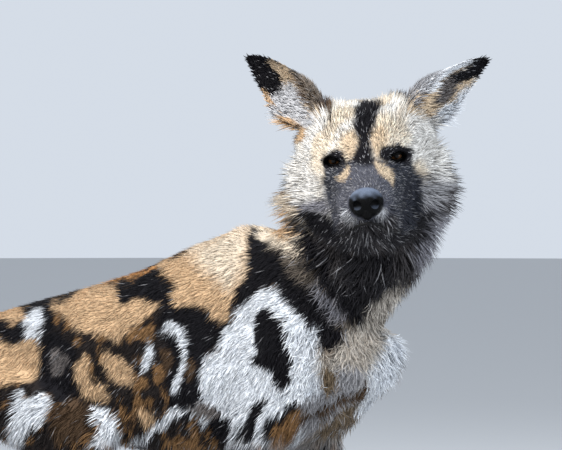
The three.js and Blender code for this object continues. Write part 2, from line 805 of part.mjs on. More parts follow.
const dog = new THREE.Group();
for (const [name, solid] of Object.entries(buildSolids())) dog.add(meshOf(name, solid));
const middle = new THREE.Box3().setFromObject(dog, true).getCenter(V());
dog.position.set(-middle.x, -middle.y, 0);

export default dog;
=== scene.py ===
# %% [markdown]
# An African wild dog, life size, as a still museum model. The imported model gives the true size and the
# pose: every solid in it is a node in metres, with +X forward, +Y to the animal's left, +Z up and the floor
# at z = 0.
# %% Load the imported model
import json
import math
import bmesh
import bpy
import numpy as np
from mathutils import Matrix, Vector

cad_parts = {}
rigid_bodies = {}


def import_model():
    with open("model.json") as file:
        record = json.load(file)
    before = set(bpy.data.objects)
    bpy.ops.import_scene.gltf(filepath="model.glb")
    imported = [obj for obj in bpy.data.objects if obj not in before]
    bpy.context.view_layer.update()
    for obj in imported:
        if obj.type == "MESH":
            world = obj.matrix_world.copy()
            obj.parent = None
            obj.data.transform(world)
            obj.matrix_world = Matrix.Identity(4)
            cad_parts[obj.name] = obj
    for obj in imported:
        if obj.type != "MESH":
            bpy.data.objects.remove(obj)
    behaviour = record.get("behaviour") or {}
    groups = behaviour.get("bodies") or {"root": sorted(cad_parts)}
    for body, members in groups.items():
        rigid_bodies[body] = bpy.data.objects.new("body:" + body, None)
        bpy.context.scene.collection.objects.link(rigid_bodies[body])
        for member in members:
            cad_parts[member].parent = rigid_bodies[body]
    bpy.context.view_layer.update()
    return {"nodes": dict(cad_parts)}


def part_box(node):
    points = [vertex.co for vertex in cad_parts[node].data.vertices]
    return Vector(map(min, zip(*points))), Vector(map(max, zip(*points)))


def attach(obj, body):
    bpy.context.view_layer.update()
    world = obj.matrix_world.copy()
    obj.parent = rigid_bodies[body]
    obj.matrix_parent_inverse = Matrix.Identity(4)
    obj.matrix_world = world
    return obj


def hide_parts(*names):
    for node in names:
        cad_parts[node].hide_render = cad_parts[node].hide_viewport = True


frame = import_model()
FLESH = ["head", "neck", "torso", "tail", "foreleg_right", "foreleg_left", "hindleg_right", "hindleg_left"]

# %% [markdown]
# The camera comes first, because the coat's patches are placed by where the picture shows them. It is a
# long lens five metres away, 33 degrees ahead of the animal's right side and two degrees above it. The
# middle between the eyes is known in the model and in the picture, so that pair of places fixes where the
# camera stands.
# %% Camera
PICTURE = (562, 450)
PICTURE_MIDDLE = np.array(PICTURE) / 2
AZIMUTH, ELEVATION, DISTANCE = math.radians(33), math.radians(2), 5.0
PIXELS_PER_METRE = 790  # at the distance of the eyes
EYES_PIXEL = np.array([365.4, 158.2])
SENSOR = 36.0  # millimetres wide


def middle_of(node):
    low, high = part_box(node)
    return (np.array(low) + np.array(high)) / 2


EYE_MIDPOINT = (middle_of("eye_right") + middle_of("eye_left")) / 2
VIEW_RIGHT = np.array([math.cos(AZIMUTH), math.sin(AZIMUTH), 0])
TO_CAMERA = np.array(
    [math.sin(AZIMUTH) * math.cos(ELEVATION), -math.cos(AZIMUTH) * math.cos(ELEVATION), math.sin(ELEVATION)]
)
VIEW_UP = np.cross(TO_CAMERA, VIEW_RIGHT)
shift_px = (EYES_PIXEL - PICTURE_MIDDLE) / PIXELS_PER_METRE
CAMERA_PLACE = EYE_MIDPOINT - VIEW_RIGHT * shift_px[0] + VIEW_UP * shift_px[1] + TO_CAMERA * DISTANCE
FOCAL_PIXELS = PIXELS_PER_METRE * DISTANCE


def placed(name, data):
    """A new object of the scene, at the origin, that shows the data."""
    made = bpy.data.objects.new(name, data)
    bpy.context.scene.collection.objects.link(made)
    return made


def aim(piece, right, up, back, place):
    """A camera or lamp looks against its back axis, from its place."""
    rows = np.column_stack([right, up, back, place]).tolist()
    piece.matrix_world = Matrix([*rows, [0, 0, 0, 1]])


camera = placed("camera", bpy.data.cameras.new("camera"))
camera.data.sensor_width = SENSOR
camera.data.lens = FOCAL_PIXELS / PICTURE[0] * SENSOR
camera.data.clip_end = 100
aim(camera, VIEW_RIGHT, VIEW_UP, TO_CAMERA, CAMERA_PLACE)
bpy.context.scene.camera = camera


def to_picture(points):
    """The pixel of each point: its offset across and down, times the focal length, over its distance."""
    offset = np.asarray(points) - CAMERA_PLACE
    depth = -(offset @ TO_CAMERA)
    across = offset @ VIEW_RIGHT / depth * FOCAL_PIXELS
    down = -(offset @ VIEW_UP) / depth * FOCAL_PIXELS
    return np.stack([across, down], -1) + PICTURE_MIDDLE


print("camera at", CAMERA_PLACE.round(3), "lens", round(camera.data.lens, 1), "mm")

# %% [markdown]
# The head has a frame of its own: its origin is the midpoint of the eyes, x points to the nose, y to the
# left and z up. Everything on the head is worked out there and then turned and moved into place.
# %% The head's frame
HEAD_YAW, HEAD_PITCH, HEAD_ROLL = map(math.radians, (-60, 4, 4.5))


def turn(axis, angle):
    """The 3 by 3 matrix that turns by an angle about axis 0, 1 or 2."""
    c, s = math.cos(angle), math.sin(angle)
    matrix = np.eye(3)
    a, b = (axis + 1) % 3, (axis + 2) % 3
    matrix[a, a] = matrix[b, b] = c
    matrix[a, b], matrix[b, a] = -s, s
    return matrix


HEAD_AXES = turn(2, HEAD_YAW) @ turn(1, HEAD_PITCH) @ turn(0, HEAD_ROLL)


def from_head(points):
    return np.asarray(points, float) @ HEAD_AXES.T + EYE_MIDPOINT


def to_head(points):
    return (np.asarray(points, float) - EYE_MIDPOINT) @ HEAD_AXES


# The body's sizes below count x from the withers, y from the middle plane of the trunk and z from the floor
EYES_AHEAD = 0.224
MIDDLE_Y = (middle_of("claw_fore_right_2") + middle_of("claw_fore_left_3"))[1] / 2
WITHERS_X = EYE_MIDPOINT[0] - EYES_AHEAD
BODY_ORIGIN = np.array([WITHERS_X, MIDDLE_Y, 0])
print("withers at x =", round(WITHERS_X, 4), "middle plane at y =", round(MIDDLE_Y, 4))

# %% [markdown]
# A loft is a skin drawn over a row of sections, as a boat's planks lie over its ribs. Each section has a
# centre, a half width, a reach above and below, and a squareness. A Catmull-Rom curve runs through the
# numbers of the sections, so a few rows give a smooth body.
# %% Lofts as whole arrays
def blend_rows(rows, places):
    """Catmull-Rom between rows: the cubic through rows b and c with slopes (c - a)/2 and (d - b)/2."""
    rows = np.asarray(rows, float)
    at = np.clip(places, 0, 1) * (len(rows) - 1)
    i = np.minimum(at.astype(int), len(rows) - 2)
    a, b, c, d = (rows[np.clip(i + k, 0, len(rows) - 1)] for k in (-1, 0, 1, 2))
    t = (at - i)[:, None]
    return 0.5 * (2 * b + (c - a) * t + (2 * a - 5 * b + 4 * c - d) * t**2 + (3 * b - a - 3 * c + d) * t**3)


def unit(vectors):
    return vectors / np.maximum(np.linalg.norm(vectors, axis=-1, keepdims=True), 1e-9)


def loft(rows, upright, along=60, around=48):
    """Points of a loft: centre + side*cos(a)^(2/n)*left + reach*sin(a)^(2/n)*up, a grid along by around."""
    places = np.linspace(0, 1, along)
    values = blend_rows(rows, places)
    ahead = unit(blend_rows(rows, places + 0.01)[:, :3] - blend_rows(rows, places - 0.01)[:, :3])
    left = unit(np.cross(np.asarray(upright, float), ahead))
    up = np.cross(ahead, left)
    angle = np.linspace(0, 2 * np.pi, around, endpoint=False)
    power = (2 / values[:, 6])[:, None]
    c, s = np.cos(angle)[None], np.sin(angle)[None]
    across = np.sign(c) * np.abs(c) ** power * values[:, 3:4]
    over = np.sign(s) * np.abs(s) ** power * np.where(s > 0, values[:, 4:5], values[:, 5:6])
    return values[:, None, :3] + across[..., None] * left[:, None] + over[..., None] * up[:, None]


def closed_loft(grid):
    """Points and faces of a grid of rings: quads between them, and a fan to a middle point at each end."""
    rings, around, _ = grid.shape
    k = np.arange(around)
    n = (k + 1) % around
    start = np.arange(rings - 1)[:, None] * around
    quads = np.stack([start + k, start + n, start + around + n, start + around + k], -1).reshape(-1, 4)
    last = (rings - 1) * around
    front = np.stack([np.full(around, rings * around), n, k], -1)
    back = np.stack([np.full(around, rings * around + 1), last + k, last + n], -1)
    points = np.concatenate([grid.reshape(-1, 3), grid[:1].mean(1), grid[-1:].mean(1)])
    return points, [*quads, *front, *back]


def egg(centre, halves, count=20):
    """An ellipsoid: centre + halves * (cos u cos v, cos u sin v, sin u)."""
    u = np.linspace(-np.pi / 2, np.pi / 2, count)[1:-1, None]
    v = np.linspace(0, 2 * np.pi, 2 * count, endpoint=False)[None]
    grid = np.stack([np.cos(u) * np.cos(v), np.cos(u) * np.sin(v), np.sin(u) * np.ones_like(v)], -1)
    return np.asarray(centre) + grid * np.asarray(halves)


def new_mesh(name, points, faces):
    """A mesh object at the origin from an array of points and lists of faces."""
    mesh = bpy.data.meshes.new(name)
    mesh.from_pydata(np.asarray(points).tolist(), [], [list(map(int, f)) for f in faces])
    mesh.validate()
    return placed(name, mesh)


def joined(name, bodies):
    """One mesh object from several bodies, each given by its points and faces."""
    points, faces, start = [], [], 0
    for body_points, body_faces in bodies:
        points.append(body_points)
        faces += [[int(i) + start for i in face] for face in body_faces]
        start += len(body_points)
    return new_mesh(name, np.concatenate(points), faces)


# %% [markdown]
# The bare head. Each row holds the distance ahead of the eyes, the top and bottom of the section, its half
# width and its squareness, in millimetres. The brow ridges, cheek bones and chewing muscles are eggs that
# swell out of it.
# %% Head, neck and tail under the coat
MM = 0.001
SIDES = (-1, 1)  # right and left
HEAD_ROWS = [
    # ahead of the eyes, top, bottom, half width, squareness
    [-126, 24, -34, 36, 2.0],
    [-112, 48, -62, 60, 2.0],
    [-86, 66, -84, 78, 2.1],
    [-54, 72, -92, 84, 2.2],
    [-28, 64, -96, 80, 2.3],
    [-8, 46, -98, 66, 2.3],
    [10, 18, -99, 50, 2.4],
    [30, -4, -101, 42, 2.5],
    [52, -16, -102, 38.5, 2.6],
    [72, -23, -100, 34.5, 2.6],
    [87, -30, -94, 29, 2.5],
    [93, -40, -86, 19, 2.3],
]
HEAD_EGGS = [
    # centre and half sizes, of brow, cheek bone, chewing muscle and lip
    ([-8, 36, 16], [20, 23, 10]),
    ([-32, 57, -16], [38, 22, 20]),
    ([-58, 60, -50], [46, 25, 34]),
    ([68, 20, -72], [26, 16.5, 20]),
]
NECK_ROWS = [
    # the section's centre from the withers, half width, reach above and below, squareness
    [20, 0, 540, 86, 94, 108, 2.1],
    [96, 0, 580, 88, 90, 112, 2.1],
    [144, -8, 630, 90, 78, 109, 2.0],
    [170, -20, 684, 90, 64, 99, 2.0],
    [184, -34, 742, 81, 50, 79, 2.0],
]
TAIL_ROWS = [
    [-472, 0, 452, 24, 24, 24, 2],
    [-516, 0, 454, 23, 23, 23, 2],
    [-556, 0, 418, 18, 18, 18, 2],
    [-574, 0, 340, 15, 15, 15, 2],
    [-578, 0, 262, 13, 13, 13, 2],
    [-586, 0, 184, 10, 10, 10, 2],
    [-600, 0, 117, 4, 4, 4, 2],
]


def head_rows(rows):
    """Rows of a loft from each section's place ahead, top, bottom, half width and squareness."""
    x, top, low, half, square = np.array(rows).T
    reach = (top - low) / 2
    return np.stack([x, 0 * x, (top + low) / 2, half, reach, reach, square], -1)


def head_eggs(eggs, count=20):
    """Eggs in the head's frame, in millimetres. Those off the middle plane come in pairs."""
    return [closed_loft(from_head(egg(np.array(centre) * [1, side, 1], halves, count) * MM))
            for centre, halves in eggs for side in (SIDES if centre[1] else [1])]


def read(items, value, width=3, kind=float):
    """A row of numbers for each item of a mesh, such as the place of each point."""
    numbers = np.empty(len(items) * width, kind)
    items.foreach_get(value, numbers)
    return numbers.reshape(-1, width)


def cad_copy(node):
    """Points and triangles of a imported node."""
    mesh = frame["nodes"][node].data
    mesh.calc_loop_triangles()
    return read(mesh.vertices, "co"), read(mesh.loop_triangles, "vertices", kind=int)


bodies = [closed_loft(from_head(loft(head_rows(HEAD_ROWS), (0, 0, 1)) * MM)), *head_eggs(HEAD_EGGS)]
bodies.append(closed_loft(loft(NECK_ROWS, (-1, 0, 0.4)) * MM + BODY_ORIGIN))
bodies.append(closed_loft(loft(TAIL_ROWS, (1, 0, 0.3)) * MM + BODY_ORIGIN))
bodies += [cad_copy(node) for node in FLESH if node not in ("head", "neck", "tail")]
raw = joined("raw_flesh", bodies)

# %% [markdown]
# The bodies are joined into one skin by a voxel remesh: space is cut into small cubes, each is found to be
# inside or outside, and one closed surface is drawn between the two. A few rounds of smoothing take the
# facets away. The head's faces are then split once more, because its folds are finer than the cubes.
# %% One skin from all the bodies
VOXEL, SMOOTHING_ROUNDS = 0.0042, 10


def applied(piece, name):
    """A new object with the piece's modifiers baked into its mesh; the old one is removed."""
    mesh = bpy.data.meshes.new_from_object(piece.evaluated_get(bpy.context.evaluated_depsgraph_get()))
    bpy.data.objects.remove(piece)
    mesh.name = name
    return placed(name, mesh)


def smooth(piece, rounds):
    soften = piece.modifiers.new("soften", "SMOOTH")
    soften.factor = 0.5
    soften.iterations = rounds


def remeshed(piece, name, size, rounds):
    """One closed surface round the piece, drawn over cubes of a size and smoothed in some rounds."""
    join = piece.modifiers.new("join", "REMESH")
    join.mode = "VOXEL"
    join.voxel_size = size
    smooth(piece, rounds)
    return applied(piece, name)


def read_points(piece):
    return read(piece.data.vertices, "co")


def read_normals(piece):
    return read(piece.data.vertices, "normal")


def write_points(piece, points):
    piece.data.vertices.foreach_set("co", np.asarray(points, np.float32).ravel())
    piece.data.update()


skin = remeshed(raw, "skin", VOXEL, SMOOTHING_ROUNDS)


def ease(value, low, high):
    """0 below low, 1 above high, and the cubic 3t^2 - 2t^3 between."""
    t = np.clip((value - low) / (high - low), 0, 1)
    return t * t * (3 - 2 * t)


SKULL_MIDDLE, SKULL_HALVES = [-25, 0, -22], [118, 92, 92]


def head_share(points):
    """1 on the head, 0 on the body, by how far a point is from the middle of the skull, in skull sizes."""
    reach = np.linalg.norm((to_head(points) / MM - SKULL_MIDDLE) / SKULL_HALVES, axis=1)
    return 1 - ease(reach, 1.0, 1.22)


def in_body(points):
    """Millimetres from the withers, the middle plane and the floor."""
    return (np.asarray(points) - BODY_ORIGIN) / MM


X, Y, Z = 0, 1, 2
ON_TAIL = (X, -520, -545)


def within(places, *spans):
    """A share from 0 to 1 at each place: the product of the eases along some axes. A span holds its axis,
    where the share leaves 0 and where it reaches 1."""
    share = 1.0
    for axis, start, full in spans:
        share = share * ease(places[:, axis], start, full)
    return share


def mix(a, b, share):
    """From a to b by the share at each point: a + (b - a) * share."""
    return a + (b - a) * np.asarray(share)[:, None]


FINE_FROM = 0.35  # share of the head from which faces are split
bm = bmesh.new()
bm.from_mesh(skin.data)
centres = np.array([f.calc_center_median() for f in bm.faces])
near_head = head_share(centres) > FINE_FROM
bm.faces.ensure_lookup_table()
edges = {e for i in np.flatnonzero(near_head) for e in bm.faces[i].edges}
bmesh.ops.subdivide_edges(bm, edges=list(edges), cuts=1, use_grid_fill=True)
bm.to_mesh(skin.data)
bm.free()
print("skin:", len(skin.data.vertices), "points,", len(skin.data.polygons), "faces")

# %% [markdown]
# The skin is let in by the depth of the coat, so that the hair comes back out to the true outline: about a
# centimetre on the trunk, and next to nothing on the face and feet. On the head, each dent and swelling
# moves points by a vector that fades with distance as exp(-d^2).
# %% Depth of the coat, and the forms of the face
TRUNK_DEPTH, LEG_DEPTH, PAW_LESS, TAIL_DEPTH = 0.010, 0.004, 0.003, 0.001
FACE_DEPTH, NAPE_MORE, BREAST_MORE = 0.0015, 0.005, 0.006


def coat_depth(points):
    """Metres that the skin is let in. It stays out at the front of the chest and of the far leg, where the
    picture shows more than the solids, and goes deeper at the breast above them."""
    body = in_body(points)
    leg = within(body, (Z, 400, 250))
    paw = within(body, (Z, 70, 20))
    tail = within(body, ON_TAIL)
    depth = TRUNK_DEPTH * (1 - leg) + LEG_DEPTH * leg - PAW_LESS * paw
    depth = depth * (1 - tail) + TAIL_DEPTH * tail
    chest = within(body, (X, 110, 160), (Z, 330, 400), (Z, 510, 470))
    far_leg = within(body, (X, 60, 110), (Y, 0, 30), (Y, 92, 62), (Z, 300, 360), (Z, 530, 490))
    breast = within(body, (X, 120, 160), (Z, 490, 530), (Z, 640, 590))
    depth = depth - np.minimum(depth, TRUNK_DEPTH) * np.maximum(chest, far_leg) + BREAST_MORE * breast
    on_head = FACE_DEPTH + NAPE_MORE * within(to_head(points) / MM, (X, 10, -60))
    head = head_share(points)
    return depth * (1 - head) + on_head * head


ORBIT, ORBIT_HALVES = [21, 41, 0.5], [17, 12.5, 8]


def in_orbit(local, side):
    """1 in the middle of an orbit's opening, and 0 at its edge and beyond. Points are in the head's frame."""
    across = (local[:, 1:] - [ORBIT[1] * side, ORBIT[2]]) / ORBIT_HALVES[1:]
    return np.clip(1 - (across**2).sum(1), 0, 1) * (local[:, X] > -5)


FACE_MOVES = [
    # centre, reach and shift in the head's frame, in millimetres; y is mirrored
    ([2, 34, 20], [16, 20, 8], [4, 0, 1.5]),
    ([24, 24, -10], [16, 8, 14], [-4, -1.5, -1]),
    ([40, 14, -12], [30, 9, 14], [0, 1.5, 2]),
    ([70, 25, -62], [20, 12, 15], [2, 4, 0]),
    ([48, 38, -84], [34, 10, 8], [0, 3, -2]),
    ([8, 52, -34], [22, 12, 16], [-2, -4, 0]),
    ([-22, 0, 56], [34, 8, 22], [-2, 0, -2.5]),
    ([78, 0, -99], [20, 16, 9], [3, 0, -2]),
    ([-38, 68, 24], [34, 24, 24], [0, 13, 2]),
]
LIP_FOLD = 2.6  # half width and depth of the fold along the mouth
MOUTH = [[97, 0, -73], [90, 15, -77.5], [74, 29, -88], [46, 40, -91], [24, 45, -82], [8, 50, -70]]


def along_line(rows, count):
    return blend_rows(rows, np.linspace(0, 1, count))


points = read_points(skin)
points = points - read_normals(skin) * coat_depth(points)[:, None]
local = to_head(points) / MM
share = head_share(points)[:, None]
for centre, reach, shift in FACE_MOVES:
    for side in SIDES:
        flip = np.array([1, side, 1])
        weight = np.exp(-(((local - np.array(centre) * flip) / reach) ** 2).sum(1, keepdims=True))
        local = local + share * weight * np.array(shift) * flip * (0.5 if centre[1] == 0 else 1)
for side in SIDES:
    hollow = in_orbit(local, side)
    back = ORBIT[0] - ORBIT_HALVES[0] * np.sqrt(hollow)
    sunk = (hollow > 0) & (local[:, X] > back)
    local[sunk, X] = back[sunk]
for side in SIDES:
    line = along_line(MOUTH, 60)[::2] * [1, side, 1]
    gap = np.linalg.norm(local[:, None, :] - line[None], axis=2).min(1)
    inward = unit(np.array([0, 0, -50]) - local)
    local = local + share * inward * (LIP_FOLD * np.exp(-((gap / LIP_FOLD) ** 2)))[:, None]
write_points(skin, from_head(local * MM))
skin.data.polygons.foreach_set("use_smooth", np.ones(len(skin.data.polygons), bool))
print("face shaped with", len(FACE_MOVES), "pairs of moves")

# %% [markdown]
# The markings. The coat of this animal is a map of black, tan, orange and white. The patches on the side
# that the picture shows are outlines in the picture's own pixels, and a point of the coat takes the patch
# that it falls in. A few of these outlines are painted shade in folds and hollows, and one is partly a
# painted highlight. Those on the hidden side are ovals in millimetres along and above the body. The blotches
# of the legs and the bands of the tail are worked out further down.
# %% Colours and outlines of the patches
def linear(red, green, blue):
    """A screen colour from 0 to 255 as the light it stands for: ((c + 0.055)/1.055)^2.4."""
    c = np.array([red, green, blue]) / 255
    return np.where(c <= 0.04045, c / 12.92, ((c + 0.055) / 1.055) ** 2.4)


BLACK = linear(24, 23, 27)
BROWN = linear(84, 66, 50)
TAN = linear(216, 182, 144)
ORANGE = linear(212, 156, 100)
CREAM = linear(240, 224, 202)
WHITE = linear(238, 242, 248)
IVORY = linear(244, 240, 234)
BEIGE = linear(212, 190, 162)
SILVER = linear(172, 171, 174)
GREY = linear(112, 106, 104)
DARK = linear(40, 35, 34)
OCHRE = linear(156, 118, 78)
SAND = linear(190, 182, 172)
OLIVE = linear(122, 106, 86)
BAND = linear(128, 117, 106)
SMOKE = linear(68, 65, 66)
SLATE = linear(54, 56, 64)
MAUVE = linear(86, 87, 96)
PALE = linear(205, 206, 210)
COAL = linear(40, 39, 42)
ASH = linear(140, 139, 146)

SIDE_PATCHES = [
    # colour, softness in pixels, outline in the picture
    (TAN, 6, [(-30, 306), (10, 303), (30, 309), (28, 320), (8, 322), (-30, 326)]),
    (BLACK, 5, [(-30, 322), (10, 322), (24, 318), (28, 332), (20, 343), (-30, 345)]),
    (TAN, 7, [(-30, 346), (6, 342), (24, 340), (38, 346), (40, 370), (24, 382), (-30, 380)]),
    (BLACK, 5, [(23, 303), (60, 289), (100, 283), (85, 296), (56, 304), (52, 330), (42, 345), (36, 325)]),
    (WHITE, 4, [(28, 312), (41, 308), (43, 318), (36, 338), (28, 340), (24, 328)]),
    (BLACK, 6, [(40, 340), (56, 330), (75, 352), (82, 400), (50, 396), (38, 380)]),
    (TAN, 7, [(54, 305), (75, 292), (105, 280), (116, 290), (122, 300), (156, 298), (150, 312), (138, 325),
        (120, 338), (96, 336), (78, 330), (64, 320)]),
    (GREY, 6, [(50, 352), (62, 350), (68, 366), (58, 374), (50, 368)]),
    (TAN, 6, [(76, 360), (88, 356), (92, 380), (110, 392), (104, 402), (80, 392), (74, 378)]),
    (TAN, 6, [(104, 350), (118, 356), (132, 372), (130, 386), (112, 380), (103, 366)]),
    (BLACK, 5, [(116, 290), (136, 276), (154, 268), (172, 290), (176, 312), (168, 318), (158, 300),
        (130, 300)]),
    (ORANGE, 3, [(106, 279), (130, 272), (152, 264), (158, 268), (140, 274), (112, 281)]),
    (TAN, 7, [(158, 266), (176, 254), (200, 242), (232, 226), (254, 218), (256, 228), (250, 250),
        (243, 275), (236, 300), (226, 322), (214, 318), (205, 306), (184, 312), (173, 298), (172, 284)]),
    (CREAM, 24, [(192, 250), (220, 233), (252, 222), (250, 236), (243, 262), (232, 286), (222, 288),
        (208, 272)]),
    (BLACK, 6, [(160, 318), (186, 306), (206, 310), (218, 324), (234, 318), (226, 334), (212, 350),
        (204, 372), (202, 400), (188, 420), (170, 412), (164, 380), (168, 350)]),
    (WHITE, 3, [(163, 331), (170, 324), (182, 329), (188, 345), (186, 368), (178, 392), (170, 391),
        (180, 366), (180, 346), (174, 338)]),
    (WHITE, 3, [(150, 342), (154, 346), (152, 364), (146, 372), (144, 360)]),
    (BROWN, 4, [(160, 348), (170, 350), (171, 368), (162, 366)]),
    (BROWN, 4, [(187, 362), (196, 364), (196, 378), (188, 378)]),
    (TAN, 5, [(138, 412), (148, 410), (152, 424), (142, 428)]),
    (WHITE, 3, [(178, 408), (174, 420), (152, 434), (132, 450), (126, 450), (146, 430), (164, 416)]),
    (WHITE, 4, [(12, 400), (20, 390), (28, 398), (38, 392), (50, 400), (44, 412), (38, 430), (26, 436),
        (18, 450), (6, 452), (8, 425)]),
    (BROWN, 5, [(52, 405), (80, 400), (88, 420), (84, 440), (52, 440)]),
    (WHITE, 4, [(90, 408), (108, 411), (116, 422), (124, 452), (84, 452), (98, 432)]),
    (WHITE, 4, [(268, 288), (278, 288), (288, 300), (300, 310), (312, 318), (320, 330), (326, 350),
        (340, 352), (370, 340), (397, 320), (414, 318), (410, 350), (400, 380), (388, 410), (368, 456),
        (238, 456), (228, 436), (206, 428), (190, 416), (184, 408), (200, 402), (200, 385), (206, 362),
        (216, 343), (230, 322), (244, 302)]),
    (GREY, 5, [(186, 404), (212, 408), (222, 422), (210, 424), (192, 414)]),
    (BLACK, 2.5, [(257, 314), (268, 308), (278, 318), (286, 334), (284, 344), (292, 352), (294, 364),
        (290, 370), (294, 380), (285, 391), (275, 388), (271, 375), (258, 368), (251, 358), (259, 350),
        (254, 336), (253, 322)]),
    (BLACK, 2.5, [(252, 404), (262, 399), (267, 402), (266, 414), (258, 424), (252, 440), (236, 440),
        (243, 422), (249, 413)]),
    (BLACK, 2.5, [(213, 422), (228, 417), (234, 428), (228, 441), (213, 441), (208, 431)]),
    (BLACK, 4, [(268, 426), (288, 408), (304, 402), (306, 412), (288, 430), (276, 452), (266, 450)]),
    (OCHRE, 4, [(278, 426), (294, 412), (306, 408), (308, 420), (296, 434), (286, 452), (276, 450)]),
    (SAND, 12, [(322, 332), (344, 318), (372, 316), (388, 322), (380, 350), (368, 382), (350, 400),
        (328, 396), (318, 376)]),
    (SILVER, 6, [(330, 372), (350, 366), (368, 372), (358, 392), (336, 400)]),
    # painted shade: silver darkened where the coat curves inward at the top of the near foreleg
    (SILVER * 0.75, 8, [(304, 400), (330, 392), (352, 386), (350, 398), (326, 412), (304, 416)]),
    (OLIVE, 4, [(321, 372), (334, 370), (336, 384), (328, 396), (320, 390)]),
    (BAND, 5, [(321, 347), (333, 349), (333, 360), (324, 360)]),
    (BROWN, 3, [(306, 416), (330, 406), (350, 396), (366, 386), (370, 392), (352, 406), (324, 418),
        (306, 426)]),
    (SILVER, 5, [(306, 424), (330, 414), (352, 402), (362, 402), (340, 420), (306, 440)]),
    # the chest's olive-brown, darkened as painted shade between the forelegs
    (OLIVE, 6, [(296, 452), (320, 430), (344, 412), (362, 402), (360, 420), (348, 436), (342, 456)]),
    (WHITE, 4, [(392, 316), (414, 318), (410, 350), (400, 380), (388, 410), (368, 458), (342, 458),
        (352, 432), (364, 404), (376, 372), (384, 345)]),
    (BLACK, 5, [(254, 216), (272, 206), (286, 216), (292, 240), (310, 268), (330, 300), (344, 322),
        (346, 336), (334, 350), (322, 348), (316, 328), (302, 322), (290, 304), (278, 290), (264, 286),
        (246, 300), (232, 318), (236, 296), (246, 270), (250, 244)]),
    (BAND * 0.6, 8, [(280, 240), (300, 246), (322, 268), (342, 292), (354, 326), (340, 326), (316, 294),
        (288, 266), (274, 250)]),
    (CREAM, 6, [(244, 196), (284, 190), (306, 212), (312, 238), (304, 254), (276, 248), (262, 236),
        (252, 222)]),
    (TAN, 6, [(270, 212), (286, 208), (298, 226), (296, 240), (280, 236), (270, 226)]),
    (COAL, 8, [(292, 212), (330, 226), (410, 226), (470, 212), (466, 240), (450, 278), (436, 296),
        (390, 296), (362, 324), (346, 316), (330, 290), (310, 262), (296, 240)]),
    (SMOKE, 10, [(396, 250), (414, 246), (432, 262), (430, 282), (414, 290), (398, 278)]),
    (SMOKE * 0.7, 7, [(310, 232), (320, 236), (342, 266), (346, 282), (340, 280), (326, 258)]),
    # painted shade: a black line in the fold of the neck below the jaw
    (BLACK, 5, [(300, 236), (316, 246), (342, 292), (362, 322), (354, 324), (334, 300), (310, 262)]),
    # silver hair, lightened as a painted highlight on the neck
    (ASH, 7, [(312, 282), (322, 288), (338, 306), (346, 320), (338, 322), (324, 308)]),
    (ASH, 8, [(434, 214), (480, 208), (474, 240), (452, 270), (420, 270), (417, 252), (430, 236)]),
    (SAND, 8, [(364, 320), (378, 302), (394, 290), (450, 288), (440, 318), (400, 334), (374, 332)]),
    (IVORY, 8, [(398, 298), (440, 290), (436, 316), (404, 328), (396, 316)]),
]
FAR_OVALS = [
    # colour, middle and half sizes along and above the body in millimetres, on the animal's left side
    (TAN, (-60, 610), (95, 52)),
    (CREAM, (-30, 622), (52, 32)),
    (TAN, (-225, 520), (78, 46)),
    (BLACK, (-150, 575), (40, 40)),
    (WHITE, (-130, 440), (34, 62)),
    (TAN, (-290, 420), (60, 34)),
    (WHITE, (60, 470), (84, 104)),
    (BLACK, (84, 492), (26, 50)),
    (BLACK, (30, 430), (20, 26)),
    (TAN, (-370, 500), (60, 34)),
    (WHITE, (-330, 350), (46, 56)),
    (BLACK, (-400, 440), (40, 40)),
    (BLACK, (150, 590), (56, 70)),
    (CREAM, (190, 610), (40, 34)),
]
print(len(SIDE_PATCHES), "patches in the picture and", len(FAR_OVALS), "on the far side")

